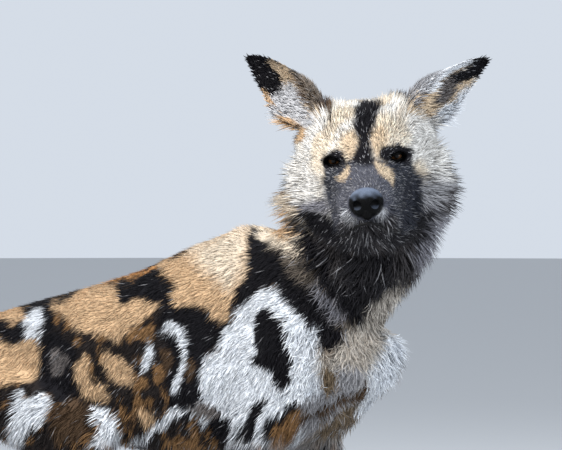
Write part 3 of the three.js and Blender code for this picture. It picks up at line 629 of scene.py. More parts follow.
FACE_PATCHES = [
    # the same for the face and ears, over a ground of cream
    (IVORY, 14, [(262, 140), (292, 140), (318, 176), (322, 200), (318, 216), (290, 216), (262, 220)]),
    (IVORY, 14, [(404, 100), (450, 120), (476, 170), (480, 204), (450, 200), (430, 176), (414, 140)]),
    (ASH, 10, [(280, 204), (300, 200), (324, 196), (328, 214), (300, 218), (282, 214)]),
    (SILVER, 12, [(424, 180), (452, 180), (476, 192), (470, 214), (440, 212), (418, 206)]),
    (ASH, 10, [(424, 208), (448, 208), (480, 204), (470, 240), (440, 266), (416, 262), (420, 240)]),
    (COAL, 8, [(304, 214), (330, 218), (350, 236), (410, 236), (422, 226), (432, 224), (430, 244),
        (400, 262), (330, 262), (304, 244), (294, 228)]),
    (SMOKE, 7, [(306, 232), (318, 236), (342, 266), (330, 262), (310, 246)]),
    (CREAM, 6, [(244, 204), (284, 203), (300, 220), (304, 244), (270, 246), (246, 226)]),
    (TAN, 6, [(268, 210), (288, 210), (296, 228), (284, 238), (270, 228)]),
    (BLACK, 6, [(298, 213), (312, 212), (328, 220), (344, 236), (334, 242), (318, 232), (303, 225)]),
    (COAL, 7, [(402, 240), (410, 218), (424, 211), (438, 213), (438, 228), (424, 242), (410, 248)]),
    (SLATE, 6, [(324, 163), (345, 162), (356, 158), (373, 158), (388, 161), (410, 158), (418, 170),
        (423, 188), (423, 208), (414, 224), (400, 238), (385, 246), (362, 248), (344, 240), (333, 226),
        (328, 208), (323, 186)]),
    (MAUVE, 10, [(345, 172), (357, 166), (372, 166), (384, 174), (391, 188), (392, 206), (388, 222),
        (382, 230), (350, 230), (336, 220), (331, 204), (337, 186)]),
    (COAL, 5, [(334, 232), (347, 228), (366, 224), (386, 226), (404, 232), (396, 244), (362, 250),
        (342, 244)]),
    (SMOKE, 5, [(368, 238), (380, 237), (388, 244), (384, 254), (372, 254)]),
    (PALE, 4, [(345, 208), (350, 214), (356, 221), (356, 228), (347, 228), (343, 219)]),
    (PALE, 4, [(381, 203), (386, 208), (386, 218), (379, 223), (376, 219), (380, 212)]),
    (BEIGE, 8, [(370, 130), (384, 126), (388, 144), (380, 158), (372, 156), (368, 144)]),
    (BEIGE, 8, [(343, 134), (354, 132), (358, 150), (354, 160), (346, 154), (342, 144)]),
    (BLACK, 7, [(358, 104), (366, 100), (382, 103), (379, 112), (375, 124), (372, 134), (369, 145),
        (372, 157), (370, 164), (356, 164), (354, 157), (357, 146), (355, 136), (352, 125), (355, 113)]),
    (BLACK, 5, [(321, 163), (324, 155), (333, 150), (342, 150), (347, 158), (345, 165), (335, 169),
        (324, 171)]),
    (BLACK, 5, [(380, 157), (383, 148), (392, 143), (404, 145), (412, 150), (414, 158), (408, 164),
        (397, 164), (386, 162)]),
    (BEIGE, 5, [(338, 180), (341, 174), (349, 167), (351, 171), (346, 178), (341, 182)]),
    (BEIGE, 5, [(373, 162), (381, 164), (389, 168), (394, 176), (394, 184), (388, 182), (380, 173)]),
    (BEIGE, 5, [(252, 64), (280, 52), (300, 62), (318, 86), (320, 112), (300, 122), (270, 92)]),
    (PALE, 5, [(260, 100), (276, 92), (290, 84), (304, 92), (314, 108), (314, 124), (292, 130),
        (262, 118)]),
    (BROWN, 4, [(298, 70), (306, 80), (320, 92), (334, 102), (330, 114), (318, 110), (306, 96)]),
    (BLACK, 3, [(238, 38), (262, 42), (286, 56), (306, 70), (318, 80), (312, 84), (298, 75), (278, 63),
        (271, 62), (279, 74), (284, 88), (276, 96), (262, 96), (238, 84)]),
    (TAN, 4, [(254, 92), (268, 93), (276, 104), (270, 110), (254, 104)]),
    (TAN, 4, [(272, 120), (300, 122), (306, 134), (298, 142), (274, 138)]),
    (BEIGE, 6, [(404, 106), (436, 80), (474, 60), (478, 76), (452, 100), (430, 116)]),
    (WHITE, 3, [(416, 82), (440, 68), (458, 58), (474, 52), (476, 60), (458, 69), (442, 79), (422, 92)]),
    (GREY, 4, [(430, 98), (442, 80), (456, 74), (453, 92), (440, 104), (430, 106)]),
    (WHITE, 6, [(430, 112), (446, 104), (462, 92), (480, 84), (480, 112), (456, 134), (434, 126)]),
    (BLACK, 2.5, [(448, 78), (464, 67), (480, 56), (498, 48), (498, 70), (478, 78), (458, 84)]),
]
print(len(FACE_PATCHES), "patches on the face and ears")


# %% [markdown]
# A random field is a sum of plane waves with random directions, so it is smooth, has no seams and is the same
# at every run. It bends the edges of the patches, scatters blotches over the stockings, and turns the hair a
# little this way and that.
# %% The coat's colour at any point
FIELD_SUM = 5.3  # twice the usual size of the sum of 14 sines


def field(points, size, seed):
    """A smooth random value, mostly between -1 and 1, that changes over a distance of size metres."""
    waves = np.random.default_rng(seed)
    ways = waves.normal(size=(14, 3))
    ways *= (waves.uniform(0.7, 1.4, 14) / np.linalg.norm(ways, axis=1))[:, None]
    phase = waves.uniform(0, 2 * np.pi, 14)
    return np.sin(points @ ways.T * (np.pi / size) + phase).sum(1) / FIELD_SUM


def rounded(outline, steps=4):
    """The outline with its corners rounded: a closed Catmull-Rom curve through its points."""
    ring = np.array(outline, float)
    around = np.concatenate([ring[-1:], ring, ring[:2]])
    places = np.linspace(1, len(ring) + 1, len(ring) * steps, endpoint=False) / (len(around) - 1)
    return blend_rows(around, places)


def depth_inside(places, outline):
    """How far each place is inside an outline, less than 0 where it is outside."""
    nearest = np.full(len(places), 1e9)
    odd = np.zeros(len(places), bool)
    for a, b in zip(outline, np.roll(outline, -1, axis=0)):
        edge = b - a
        t = np.clip((places - a) @ edge / (edge @ edge), 0, 1)
        nearest = np.minimum(nearest, np.linalg.norm(places - a - t[:, None] * edge, axis=1))
        crosses = (a[1] > places[:, 1]) != (b[1] > places[:, 1])
        slope = edge[0] / edge[1] if edge[1] else 0
        odd ^= crosses & (places[:, 0] < a[0] + (places[:, 1] - a[1]) * slope)
    return np.where(odd, nearest, -nearest)


def paint(colours, places, patches, share):
    """Each patch in turn takes over the colours inside its outline, with an edge as wide as its softness."""
    for colour, soft, outline in patches:
        ring = rounded(outline)
        low, high = ring.min(0) - soft, ring.max(0) + soft
        close = np.flatnonzero(((places > low) & (places < high)).all(1) & (share > 0))
        mask = ease(depth_inside(places[close], ring), -soft / 2, soft / 2) * share[close]
        colours[close] = mix(colours[close], colour, mask)
    return colours


def coat_colour(points, normals, fray=0):
    """The coat of the body: brindle, ovals on the far side, stockings, bands of the tail, and then the
    picture's patches where the camera sees them."""
    points = np.asarray(points)
    body = in_body(points)
    wobble = np.stack([field(points, 0.028, k) + 0.5 * field(points, 0.011, k + 1) for k in (1, 3)], -1)
    brindle = ease(field(points, 0.012, 12) + 0.8 * field(points, 0.04, 13), 0.2, 0.7)
    colours = mix(DARK, OCHRE, 0.7 * brindle)
    places = to_picture(points) + 3.2 * wobble + fray
    seen = ease(normals @ TO_CAMERA, -0.2, 0.05)
    unseen = 1 - seen * within(places, (X, -60, -20))
    flat = body[:, [X, Z]] + 26 * wobble
    for colour, middle, halves in FAR_OVALS:
        out = np.linalg.norm((flat - middle) / halves, axis=1)
        colours = mix(colours, colour, ease(out, 1.08, 0.88) * unseen)
    colours = mix(colours, SMOKE, within(body, (X, 120, 190), (Z, 560, 640)))
    spots = field(points, 0.045, 5) + 0.4 * field(points, 0.016, 6)
    leg = mix(WHITE, BLACK, ease(spots, 0.3, 0.36))
    leg = mix(leg, TAN, ease(field(points, 0.038, 7), 0.45, 0.55))
    colours = mix(colours, leg, ease(body[:, Z] + 60 * wobble[:, 0], 290, 235))
    height = body[:, Z] + 30 * wobble[:, 0]
    band = mix(TAN, BLACK, ease(height, 380, 350))
    band = mix(band, WHITE, ease(height, 240, 215))
    tail = within(body, ON_TAIL)
    colours = mix(colours, band, tail)
    share = seen * (1 - head_share(points)) * within(places, (Y, 458, 436)) * (1 - tail)
    return paint(colours, places, SIDE_PATCHES, share)


def face_colour(points, normals, fray=0):
    """The head and ears: cream with the picture's patches, and dark brown on the back of the skull. Without
    normals, as for the ears, every point counts as in front."""
    points = np.asarray(points)
    wobble = np.stack([field(points, 0.016, k) for k in (8, 9)], -1)
    local = to_head(points) / MM
    seen = np.ones(len(points)) if normals is None else ease(normals @ TO_CAMERA, -0.6, -0.2)
    nape = within(local, (X, -72, -108)) * ease(np.abs(local[:, Y]), 84, 56)
    seen = 1 - (1 - seen) * nape
    behind = mix(DARK, OCHRE, 0.8 * ease(field(points, 0.03, 10), 0.0, 0.9))
    front = mix(CREAM, IVORY, ease(field(points, 0.022, 11), -0.3, 0.5))
    colours = mix(mix(behind, front, seen), SMOKE, within(local, (Z, -84, -100)))
    return paint(colours, to_picture(points) + 2.0 * wobble + fray, FACE_PATCHES, seen)


def marked(points, normals, fray=0):
    """The colour of skin or hair at each point, from the body's and the head's markings."""
    head = ease(head_share(points), 0.3, 0.7)
    return mix(coat_colour(points, normals, fray), face_colour(points, normals, fray), head)


# %% [markdown]
# The skin is unwrapped, and takes its colour from the markings as an attribute, darkened as painted shade
# beneath the hair and nearly black, as painted shade, beneath the nose pad. Every tuft of hair takes its own
# colour from the same function, where its middle lies.
# %% Unwrap and colour the skin
def select_only(piece):
    for other in bpy.context.view_layer.objects:
        other.select_set(other == piece)
    bpy.context.view_layer.objects.active = piece


def set_colours(piece, colours):
    """The attribute coat, which the materials read, from one colour a point."""
    layer = piece.data.color_attributes.new("coat", "FLOAT_COLOR", "POINT")
    rgba = np.ones((len(colours), 4), np.float32)
    rgba[:, :3] = np.clip(colours, 0, 1)
    layer.data.foreach_set("color", rgba.ravel())


def unwrap(piece):
    """Faces turned outward, and the map OFBake laid out in islands by the way that the faces look."""
    select_only(piece)
    piece.data.uv_layers.new(name="OFBake")
    bpy.ops.object.mode_set(mode="EDIT")
    bpy.ops.mesh.select_all(action="SELECT")
    bpy.ops.mesh.normals_make_consistent(inside=False)
    bpy.ops.uv.smart_project(angle_limit=math.radians(66), island_margin=0.003)
    bpy.ops.object.mode_set(mode="OBJECT")
    piece.data.polygons.foreach_set("use_smooth", np.ones(len(piece.data.polygons), bool))


PAD_MIDDLE, PAD_HALVES = [92, 0, -49], [15, 21, 19]


def pad_reach(local):
    """How far points of the head are from the middle of the nose pad, where 1 is its edge."""
    return np.linalg.norm((local - PAD_MIDDLE) / PAD_HALVES, axis=1)


unwrap(skin)
skin_points = read_points(skin)
# Painted shade: the skin is the coat's colour darkened beneath the hair, and nearly black beneath the nose
# pad
shaded_beneath_nose = ease(pad_reach(to_head(skin_points) / MM), 1.15, 1.0)
painted_skin_shade = 0.8 - 0.75 * shaded_beneath_nose
set_colours(skin, marked(skin_points, read_normals(skin)) * painted_skin_shade[:, None])
print("skin unwrapped and coloured")

# %% [markdown]
# Hair. A tuft is a thin closed blade: a triangle at the root, one or two more along it, and a tip. It
# leaves the skin at a small angle and bends flat towards the tip. Thousands of them are worked out at once
# as arrays.
# %% Tufts as arrays
BLADES = {2: (0.85, 1.0), 3: (0.75, 1.0, 0.8)}  # share of the width at each ring, root first
ROOT_SINK, FLOOR_GAP = 0.0012, 0.0002
# Painted shade and light on every tuft: its colour is darkened at the root, where the hairs shade each other,
# and lightened towards the tip
ROOT_PAINTED_SHADE, TIP_PAINTED_LIGHT = 0.68, 0.40
PATCH_HALF_WIDTH, PATCH_LENGTH = 0.0014, 0.003


def flat_on(vectors, normals):
    """Unit vectors along the skin: v - (v.n) n."""
    return unit(vectors - normals * (vectors * normals).sum(1, keepdims=True))


def veer(lie, normals, angle):
    """A lie turned by an angle in the skin: lie cos a + (n x lie) sin a."""
    return lie * np.cos(angle)[:, None] + np.cross(normals, lie) * np.sin(angle)[:, None]


def blade_faces(rings):
    """Triangles of one blade: its root, the bands between its rings, and its tip."""
    faces = [(0, 1, 2)]
    for low in range(0, 3 * rings - 3, 3):
        for a, b in ((low, low + 1), (low + 1, low + 2), (low + 2, low)):
            faces += [(a, a + 3, b + 3), (a, b + 3, b)]
    tip = 3 * rings
    a, b, c = tip - 3, tip - 2, tip - 1
    return np.array([*faces, (a, tip, b), (b, tip, c), (c, tip, a)])


def triangle_mesh(name, points, corners, uv):
    """A smooth mesh object of triangles, with the map OFBake from a place for each point."""
    mesh = bpy.data.meshes.new(name)
    mesh.vertices.add(len(points))
    mesh.vertices.foreach_set("co", points.astype(np.float32).ravel())
    mesh.loops.add(len(corners))
    mesh.loops.foreach_set("vertex_index", corners.astype(np.int32))
    mesh.polygons.add(len(corners) // 3)
    mesh.polygons.foreach_set("loop_start", np.arange(0, len(corners), 3, dtype=np.int32))
    mesh.update(calc_edges=True)
    mesh.polygons.foreach_set("use_smooth", np.ones(len(corners) // 3, bool))
    layer = mesh.uv_layers.new(name="OFBake")
    layer.uv.foreach_set("vector", np.clip(uv[corners], 0, 1).astype(np.float32).ravel())
    return placed(name, mesh)


def tufts(name, roots, normals, lie, length, width, lift, bend, colours, uv, rings=2, curl=None):
    """A mesh with one blade a root: rings of three points and a tip, along a path that starts at the lift
    angle from the skin, bends down by the bend angle and turns sideways by the curl."""
    lie = flat_on(lie, normals)
    middle = roots - normals * ROOT_SINK
    slope = lift
    grown, shaded_tint, patch = [], [], []
    for ring in range(rings + 1):
        along = ring / rings
        across = np.cross(normals, lie)
        step = lie * np.cos(slope)[:, None] + normals * np.sin(slope)[:, None]
        corners, sideways = [middle], [0]
        if ring < rings:
            half = (width * BLADES[rings][ring] / 2)[:, None]
            keel = np.cross(step, across) * half * 0.7
            corners = [middle - across * half, middle + across * half, middle - keel]
            sideways = [-PATCH_HALF_WIDTH, 0, PATCH_HALF_WIDTH]
        for corner, aside in zip(corners, sideways):
            grown.append(corner)
            # painted shade at the root, fading to painted light at the tip
            shaded_tint.append(colours * (ROOT_PAINTED_SHADE + TIP_PAINTED_LIGHT * along))
            patch.append(uv + np.array([aside, (along - 0.5) * PATCH_LENGTH]))
        middle = middle + step * (length / rings)[:, None]
        slope = slope - bend / rings
        if curl is not None:
            lie = veer(lie, normals, curl / rings)
    points = np.stack(grown, 1).reshape(-1, 3)
    points[:, Z] = np.maximum(points[:, Z], FLOOR_GAP)
    corners = blade_faces(rings)[None] + np.arange(len(roots))[:, None, None] * len(grown)
    piece = triangle_mesh(name, points, corners.reshape(-1), np.stack(patch, 1).reshape(-1, 2))
    set_colours(piece, np.stack(shaded_tint, 1).reshape(-1, 3))
    return piece


def scatter(piece, density, seed):
    """Roots spread over a mesh: one in each equal share of the running sum of area times density.

    Returns places, smooth normals and places on the unwrap."""
    random = np.random.default_rng(seed)
    mesh = piece.data
    mesh.calc_loop_triangles()
    corner = read(mesh.loop_triangles, "vertices", 3, np.int32)
    loop = read(mesh.loop_triangles, "loops", 3, np.int32)
    uv = read(mesh.uv_layers["OFBake"].uv, "vector", 2, np.float32)
    points, normals = read_points(piece), read_normals(piece)
    a, b, c = (points[corner[:, k]] for k in range(3))
    upright = np.cross(b - a, c - a)
    area = np.linalg.norm(upright, axis=1) / 2
    total = np.cumsum(area * density((a + b + c) / 3, unit(upright)))
    n = int(total[-1])
    at = np.searchsorted(total, (np.arange(n) + random.random(n)) / n * total[-1])
    at = np.minimum(at, len(corner) - 1)
    u, v = random.random((2, n))
    over = u + v > 1
    u[over], v[over] = 1 - u[over], 1 - v[over]
    w = np.stack([1 - u - v, u, v], -1)[..., None]
    return (points[corner[at]] * w).sum(1), unit((normals[corner[at]] * w).sum(1)), (uv[loop[at]] * w).sum(1)


# %% [markdown]
# The lie of the coat, its length and its lift are fields over the body. On the back it runs to the tail,
# lower down it turns towards the ground, and on the head it runs away from the nose.
# %% Which way the hair runs, and how long it is
NOSE_TIP = [112, 0, -44]


def lie_of_coat(points, normals):
    """The way that the hair runs: back and down on the body, away from the nose on the head, with waves."""
    body = in_body(points)
    local = to_head(points) / MM
    low = within(body, (Z, 620, 430))
    leg = within(body, (Z, 420, 260))
    ahead = within(body, (X, 40, 150))
    forward = -1 + 0.4 * low + 0.45 * leg + 0.25 * ahead
    upward = -0.3 - 0.5 * low - 0.7 * leg - 0.5 * ahead
    run = np.stack([forward, 0.12 * np.sign(normals[:, Y]), upward], -1)
    run = mix(run, np.array([-0.25, 0, -1.0]), within(body, (X, -500, -540)))
    cheek = ease(np.abs(local[:, Y]), 45, 80)
    outward = np.stack([0.1 * cheek, 0.9 * cheek * np.sign(local[:, Y]), -0.4 * cheek], -1)
    away = unit(local - NOSE_TIP) + outward
    run = mix(run, away @ HEAD_AXES.T, head_share(points))
    wave = 0.5 * field(points, 0.05, 21) + 0.5 * field(points, 0.018, 22)
    return veer(flat_on(run, normals), normals, wave * (0.55 + 0.45 * within(body, (X, 100, 150))))


def hair_length(points):
    """The length of the hair at each point, in metres. The sums are in millimetres."""
    body = in_body(points)
    leg = within(body, (Z, 400, 230))
    paw = within(body, (Z, 75, 25))
    neck = within(body, (X, 60, 150), (Z, 430, 520))
    mane = within(body, (X, 110, 160), (Z, 560, 650))
    belly = within(body, (Z, 440, 400), (Z, 330, 380))
    length = 17 - 7 * leg - 4 * paw + 7 * neck + 15 * mane + 6 * belly
    tail = within(body, ON_TAIL)
    brush = 26 + 40 * within(body, (Z, 420, 200))
    length = length * (1 - tail) + brush * tail
    head = head_share(points)
    return (length * (1 - head) + face_length(to_head(points) / MM) * head) * MM


def face_length(local):
    """Millimetres of hair on the head: short on the muzzle, longer up the brow, longest in the ruff."""
    folded = np.stack([local[:, X], np.abs(local[:, Y]), local[:, Z]], -1)
    brow = within(folded, (X, 50, -15))
    crest = within(folded, (Z, 25, 55), (Y, 12, 45)) * (1 - 0.5 * within(folded, (Y, 46, 66)))
    cheek = within(folded, (Y, 34, 82), (X, 6, -60), (Z, 36, -36))
    jaw = within(folded, (Z, -76, -100), (X, 20, -40))
    length = 6.4 + 6 * brow + 14 * crest + 36 * cheek + 3 * jaw
    from_eye = np.linalg.norm(folded - [6, 40, -1], axis=1)
    return length * (0.4 + 0.6 * ease(from_eye, 13, 27))


def hair_count(points, normals):
    """Tufts to the square metre: most on the muzzle, none in the eyes, on the nose pad or under the soles."""
    body = in_body(points)
    local = to_head(points) / MM
    count = 124e3 - 16e3 * within(body, (Z, 400, 230)) + 60e3 * within(body, ON_TAIL)
    face = 250e3 + 200e3 * within(local, (X, -30, 20))
    head = head_share(points)
    count = count * (1 - head) + face * head
    bare = (in_orbit(local, -1) + in_orbit(local, 1) > 0) | (pad_reach(local) <= 1) | (body[:, Z] <= 4)
    return count * ~bare


# %% [markdown]
# Now the coat grows. Each root takes its length, width, lift, bend, lie and curl from the fields, and a
# little chance goes into each of them. Its colour is the marking where its middle lies, with painted shade
# at the root and painted light at the tip.
# %% The coat
roots, normals, uv = scatter(skin, hair_count, 31)
body = in_body(roots)
local = to_head(roots) / MM
head = head_share(roots)
random = np.random.default_rng(32)
count = len(roots)
length = hair_length(roots) * random.uniform(0.7, 1.25, count)
width = (0.0012 * (1 - head) + 0.00105 * head) * random.uniform(0.7, 1.3, count)
width = width + 0.0007 * ease(length, 0.022, 0.04)
ruff = ease(length, 0.016, 0.042) * (1 - 0.6 * within(body, ON_TAIL))
crown = head * within(local, (Z, 20, 60))
front = within(body, (X, 70, 120), (Z, 300, 360), (Z, 520, 480))
raised = 12 + 12 * front + 8 * head + (34 + 10 * head) * ruff + 24 * crown
lift = np.radians(raised + random.uniform(-5, 8, count))
bend = np.radians(8 + 6 * head + (24 - 12 * head) * ruff + random.uniform(-8, 8, count))
wavy = within(body, (X, 90, 140)) * (1 - head)
lie = veer(lie_of_coat(roots, normals), normals, random.normal(0, 0.14, count) * (1 + wavy))
curl = random.normal(0, 1, count) * (0.12 + 0.55 * wavy + 0.25 * head * ruff)
fray = random.normal(0, 1.0, (count, 2)) * (1.4 - 0.3 * head)[:, None]


def grizzled(colours, random, share, spread=0.2):
    """Some dark hairs turn paler and some pale ones darker, so that no patch is one flat colour."""
    share = share * (0.4 + 0.6 * ease(colours.mean(1), 0.012, 0.03))
    odd = (random.random(len(colours)) < share)[:, None]
    pale = (colours.mean(1) > 0.2)[:, None]
    other = np.where(pale, 0.55 * colours, 0.5 * colours + 0.5 * SILVER)
    return np.where(odd, other, colours) * (1 + spread * random.uniform(-1, 1, len(colours)))[:, None]


muzzle = within(local, (X, -10, 30))
way = lie * np.cos(lift)[:, None] + normals * np.sin(lift)[:, None]
covers = roots + way * (0.5 * length)[:, None]
speckle = 0.2 + 0.35 * muzzle
colours = grizzled(marked(covers, normals, fray), random, 0.04 + head * (0.06 + 0.2 * muzzle), speckle)
print(count, "tufts on the skin")

REGIONS = [
    # a root goes to the first region that holds it
    ("coat_head_right", (head > 0.5) & (local[:, Y] < 0)),
    ("coat_head_left", head > 0.5),
    ("coat_tail", body[:, X] < -520),
    ("coat_legs_right", (body[:, Z] < 330) & (body[:, Y] < 0)),
    ("coat_legs_left", body[:, Z] < 330),
    ("coat_neck", body[:, X] > 102),
    ("coat_shoulder_right", (body[:, X] > -90) & (body[:, Y] < 0)),
    ("coat_shoulder_left", body[:, X] > -90),
    ("coat_flank_right", body[:, Y] < 0),
    ("coat_flank_left", body[:, Y] >= 0),
]
free = np.ones(count, bool)
coat = []
for name, region in REGIONS:
    pick = free & region
    free &= ~region
    rings = 3 if name in ("coat_tail", "coat_neck") else 2
    values = [v[pick] for v in (roots, normals, lie, length, width, lift, bend, colours, uv)]
    coat.append(tufts(name, *values, rings=rings, curl=curl[pick]))
    print(name, int(pick.sum()), "tufts")

# %% [markdown]
# An ear is a cup, rolled into a tube at its root and open towards a narrow, rounded tip. Its section at each
# share of the length is an arc, given by its half width and by half its angle. The shell has an outer and an
# inner face.
# %% Ears
EAR_LENGTH, EAR_LEAN, EAR_SINK = 124, 10, 10
EAR_ROWS = [
    # share of the length, half width, half angle in degrees
    [0, 19, 118], [0.12, 26, 108], [0.28, 33, 92], [0.45, 34.5, 74], [0.62, 29, 60],
    [0.78, 21, 48], [0.9, 12.5, 38], [0.97, 6.5, 30], [1, 2.5, 26],
]
EARS = {
    # root and tip in the head's frame, the way it opens, the shares of its length between which its back
    # turns black, and the back's colour below them
    "ear_right": ([-64, -58, 48], [-86, -142, 130], [1, -0.5, -0.35], (0.25, 0.5), BAND),
    "ear_left": ([-64, 58, 44], [-80, 158, 101], [0.85, 0.1, -0.8], (0.6, 0.8), SILVER),
}


def ear_axes(root, tip, opening):
    z = unit(np.array(tip, float) - root)
    y = unit(np.cross(z, opening))
    return np.stack([np.cross(y, z), y, z])


def ear_arc(share):
    """Radius, half angle and the place of the arc's middle at each share of the ear's length."""
    rows = blend_rows(EAR_ROWS, ear_place(share))
    roll = np.radians(rows[:, 2])
    radius = rows[:, 1] / np.sin(np.minimum(roll, np.pi / 2))
    return radius, roll, radius * np.cos(roll) * 0.6 - EAR_LEAN * share**2 + 8


def ear_place(share):
    """How far down the list of rows a share of the length lies, from 0 to 1."""
    return np.interp(share, [row[0] for row in EAR_ROWS], np.linspace(0, 1, len(EAR_ROWS)))


def ear_face(inset, along=64, across=36):
    """A grid over the ear: middle - (radius - inset) cos a, (radius - inset) sin a, length * share."""
    share = np.linspace(0, 1, along) ** 0.9
    radius, roll, middle = (v[:, None] for v in ear_arc(share))
    a = np.linspace(-1, 1, across)[None] * roll
    reach = radius - inset * (1 - 0.55 * share[:, None])
    up = EAR_LENGTH * share - EAR_SINK * (share == 0)
    return np.stack([middle - reach * np.cos(a), reach * np.sin(a), up[:, None] + 0 * a], -1)


def shell_faces(along, across):
    """Quads of an outer and an inner grid and of the rim that joins them."""
    grid = np.arange(along * across).reshape(along, across)
    quads = np.stack([grid[:-1, :-1], grid[:-1, 1:], grid[1:, 1:], grid[1:, :-1]], -1).reshape(-1, 4)
    rim = np.concatenate([grid[0, :-1], grid[:-1, -1], grid[-1, :0:-1], grid[:0:-1, 0]])
    after = np.roll(rim, -1)
    inner = grid.size
    return [*quads, *(quads[:, ::-1] + inner), *np.stack([rim, rim + inner, after + inner, after], -1)]


EAR_INSETS = (0.7, 2.7)  # the outer and inner face, let in by the length of the fur
EAR_COUNT = 260e3  # tufts to the square metre
ear_skins = {}
for name, (root, tip, opening, _, _) in EARS.items():
    axes = ear_axes(root, tip, opening)
    grids = [ear_face(inset) for inset in EAR_INSETS]
    shape = grids[0].shape[:2]
    points = np.concatenate([g.reshape(-1, 3) for g in grids])
    ear = new_mesh("skin_" + name, from_head((points @ axes + root) * MM), shell_faces(*shape))
    unwrap(ear)
    # Painted shade: the ear's skin is darkened beneath its fur
    set_colours(ear, face_colour(read_points(ear), None) * 0.8)
    ear_skins[name] = ear


def ear_coat(name, seed):
    """Short fur on both faces, a fringe round the rim, and long hair low inside the cup."""
    root, tip, opening, turns_black, pale = EARS[name]
    axes = ear_axes(root, tip, opening)
    roots, normals, uv = scatter(ear_skins[name], lambda places, _: np.full(len(places), EAR_COUNT), seed)
    local = (to_head(roots) / MM - root) @ axes.T
    share = np.clip(local[:, Z] / EAR_LENGTH, 0, 1)
    radius, roll, middle = ear_arc(share)
    a = np.arctan2(local[:, Y], middle - local[:, X])
    rim = ease(np.abs(a) / roll, 0.72, 1.0)
    outward = np.stack([-np.cos(a), np.sin(a), 0 * a], -1) @ axes
    inside = ease(-((normals @ HEAD_AXES) * outward).sum(1), 0, 0.5)
    low = 1 - ease(share, 0.2, 0.62)
    random = np.random.default_rng(seed + 1)
    count = len(roots)
    within_cup = 2.5 + 17 * low * (0.35 + 0.65 * rim)
    behind_cup = 2 * rim + 10 * low
    length = 4.5 + within_cup * inside + behind_cup * (1 - inside)
    length = length * random.uniform(0.65, 1.3, count) * MM
    along = np.tile([0.1, 0, 1.0], (count, 1))
    along[:, 1] += (0.55 * rim + 0.25) * np.sign(a) * (0.3 + 0.7 * inside) * (0.35 + 0.65 * low)
    along[:, 0] += 0.9 * rim * (0.2 + 0.8 * low) + 0.3 * inside * low
    lie = along @ axes @ HEAD_AXES.T + random.normal(0, 0.16, (count, 3))
    width = random.uniform(0.0009, 0.0016, count)
    lift = np.radians(14 + 14 * inside + random.uniform(-6, 10, count))
    bend = np.radians(10 + random.uniform(-8, 16, count))
    fray = random.normal(0, 1.2, (count, 2))
    behind = mix(pale, BLACK, ease(share + 0.15 * field(roots, 0.02, 14), *turns_black))
    front = face_colour(roots, None, fray)
    colours = grizzled(mix(behind, front, inside), random, 0.1)
    keep = share > 0.03
    values = [v[keep] for v in (roots, normals, lie, length, width, lift, bend, colours, uv)]
    return tufts("coat_" + name, *values)


ear_coats = {name: ear_coat(name, 51 + 2 * i) for i, name in enumerate(EARS)}
print("ears:", {name: len(piece.data.polygons) // 10 for name, piece in ear_coats.items()}, "tufts")

# %% [markdown]
# The eyes are balls with a slightly domed front. Going out from the point they look at: pupil, amber iris
# with fine spokes, a dark ring, and a brown white of the eye. Each lid is a rounded band that wraps the
# ball from its rim up, or down, into the hollow of the skull.
# %% Eyes and lids
EYE_RADIUS, EYE_HALF_SPACING = 12.2, 39
GAZE, LID_YAW = 3, 10  # degrees outward
EYE_RINGS = [
    # degrees from the middle of the pupil, colour
    (0, linear(5, 4, 5)), (12, linear(5, 4, 5)), (14.5, linear(72, 48, 30)), (24, linear(126, 87, 54)),
    (32, linear(84, 57, 38)), (36, linear(12, 8, 8)), (46, linear(34, 23, 20)), (180, linear(60, 42, 36)),
]


def eye(name, side):
    """A ball of rings round the way it looks, closest together at the front, coloured by EYE_RINGS."""
    around, rings = 96, 60
    out = np.concatenate([np.linspace(1, 50, 40), np.linspace(56, 175, rings - 40)])
    angle = np.radians(out)[:, None]
    turned = np.linspace(0, 2 * np.pi, around, endpoint=False)[None]
    dome = EYE_RADIUS - 0.5 + 0.9 * np.exp(-((out[:, None] / 30) ** 2))
    across = np.sin(angle) * dome
    grid = [np.cos(angle) * dome + 0 * turned, across * np.cos(turned), across * np.sin(turned)]
    points, faces = closed_loft(np.stack(grid, -1))
    yaw = turn(2, math.radians(GAZE * side))
    points = points @ yaw.T + [0, EYE_HALF_SPACING * side, 0]
    piece = new_mesh(name + "_ball", from_head(points * MM), faces)
    unwrap(piece)
    spokes = 1 + 0.22 * np.sin(23 * turned + 3 * np.sin(7 * turned)) * ((out > 13) & (out < 36))[:, None]
    stops = np.array([stop for stop, _ in EYE_RINGS])
    values = np.array([colour for _, colour in EYE_RINGS])
    ring = np.stack([np.interp(out, stops, values[:, k]) for k in range(3)], -1)
    colours = (ring[:, None] * spokes[..., None]).reshape(-1, 3)
    set_colours(piece, np.concatenate([colours, ring[:1], ring[-1:]]))
    return piece


LID_PROFILE = [
    # degrees beyond the lid's rim, and distance from the middle of the ball
    (7, 12.3), (1, 12.4), (-1.4, 12.8), (-1.2, 13.3), (2, 13.8), (12, 14.3),
    (26, 14.6), (42, 14.4), (54, 13.4), (50, 12.2), (28, 12.2),
]


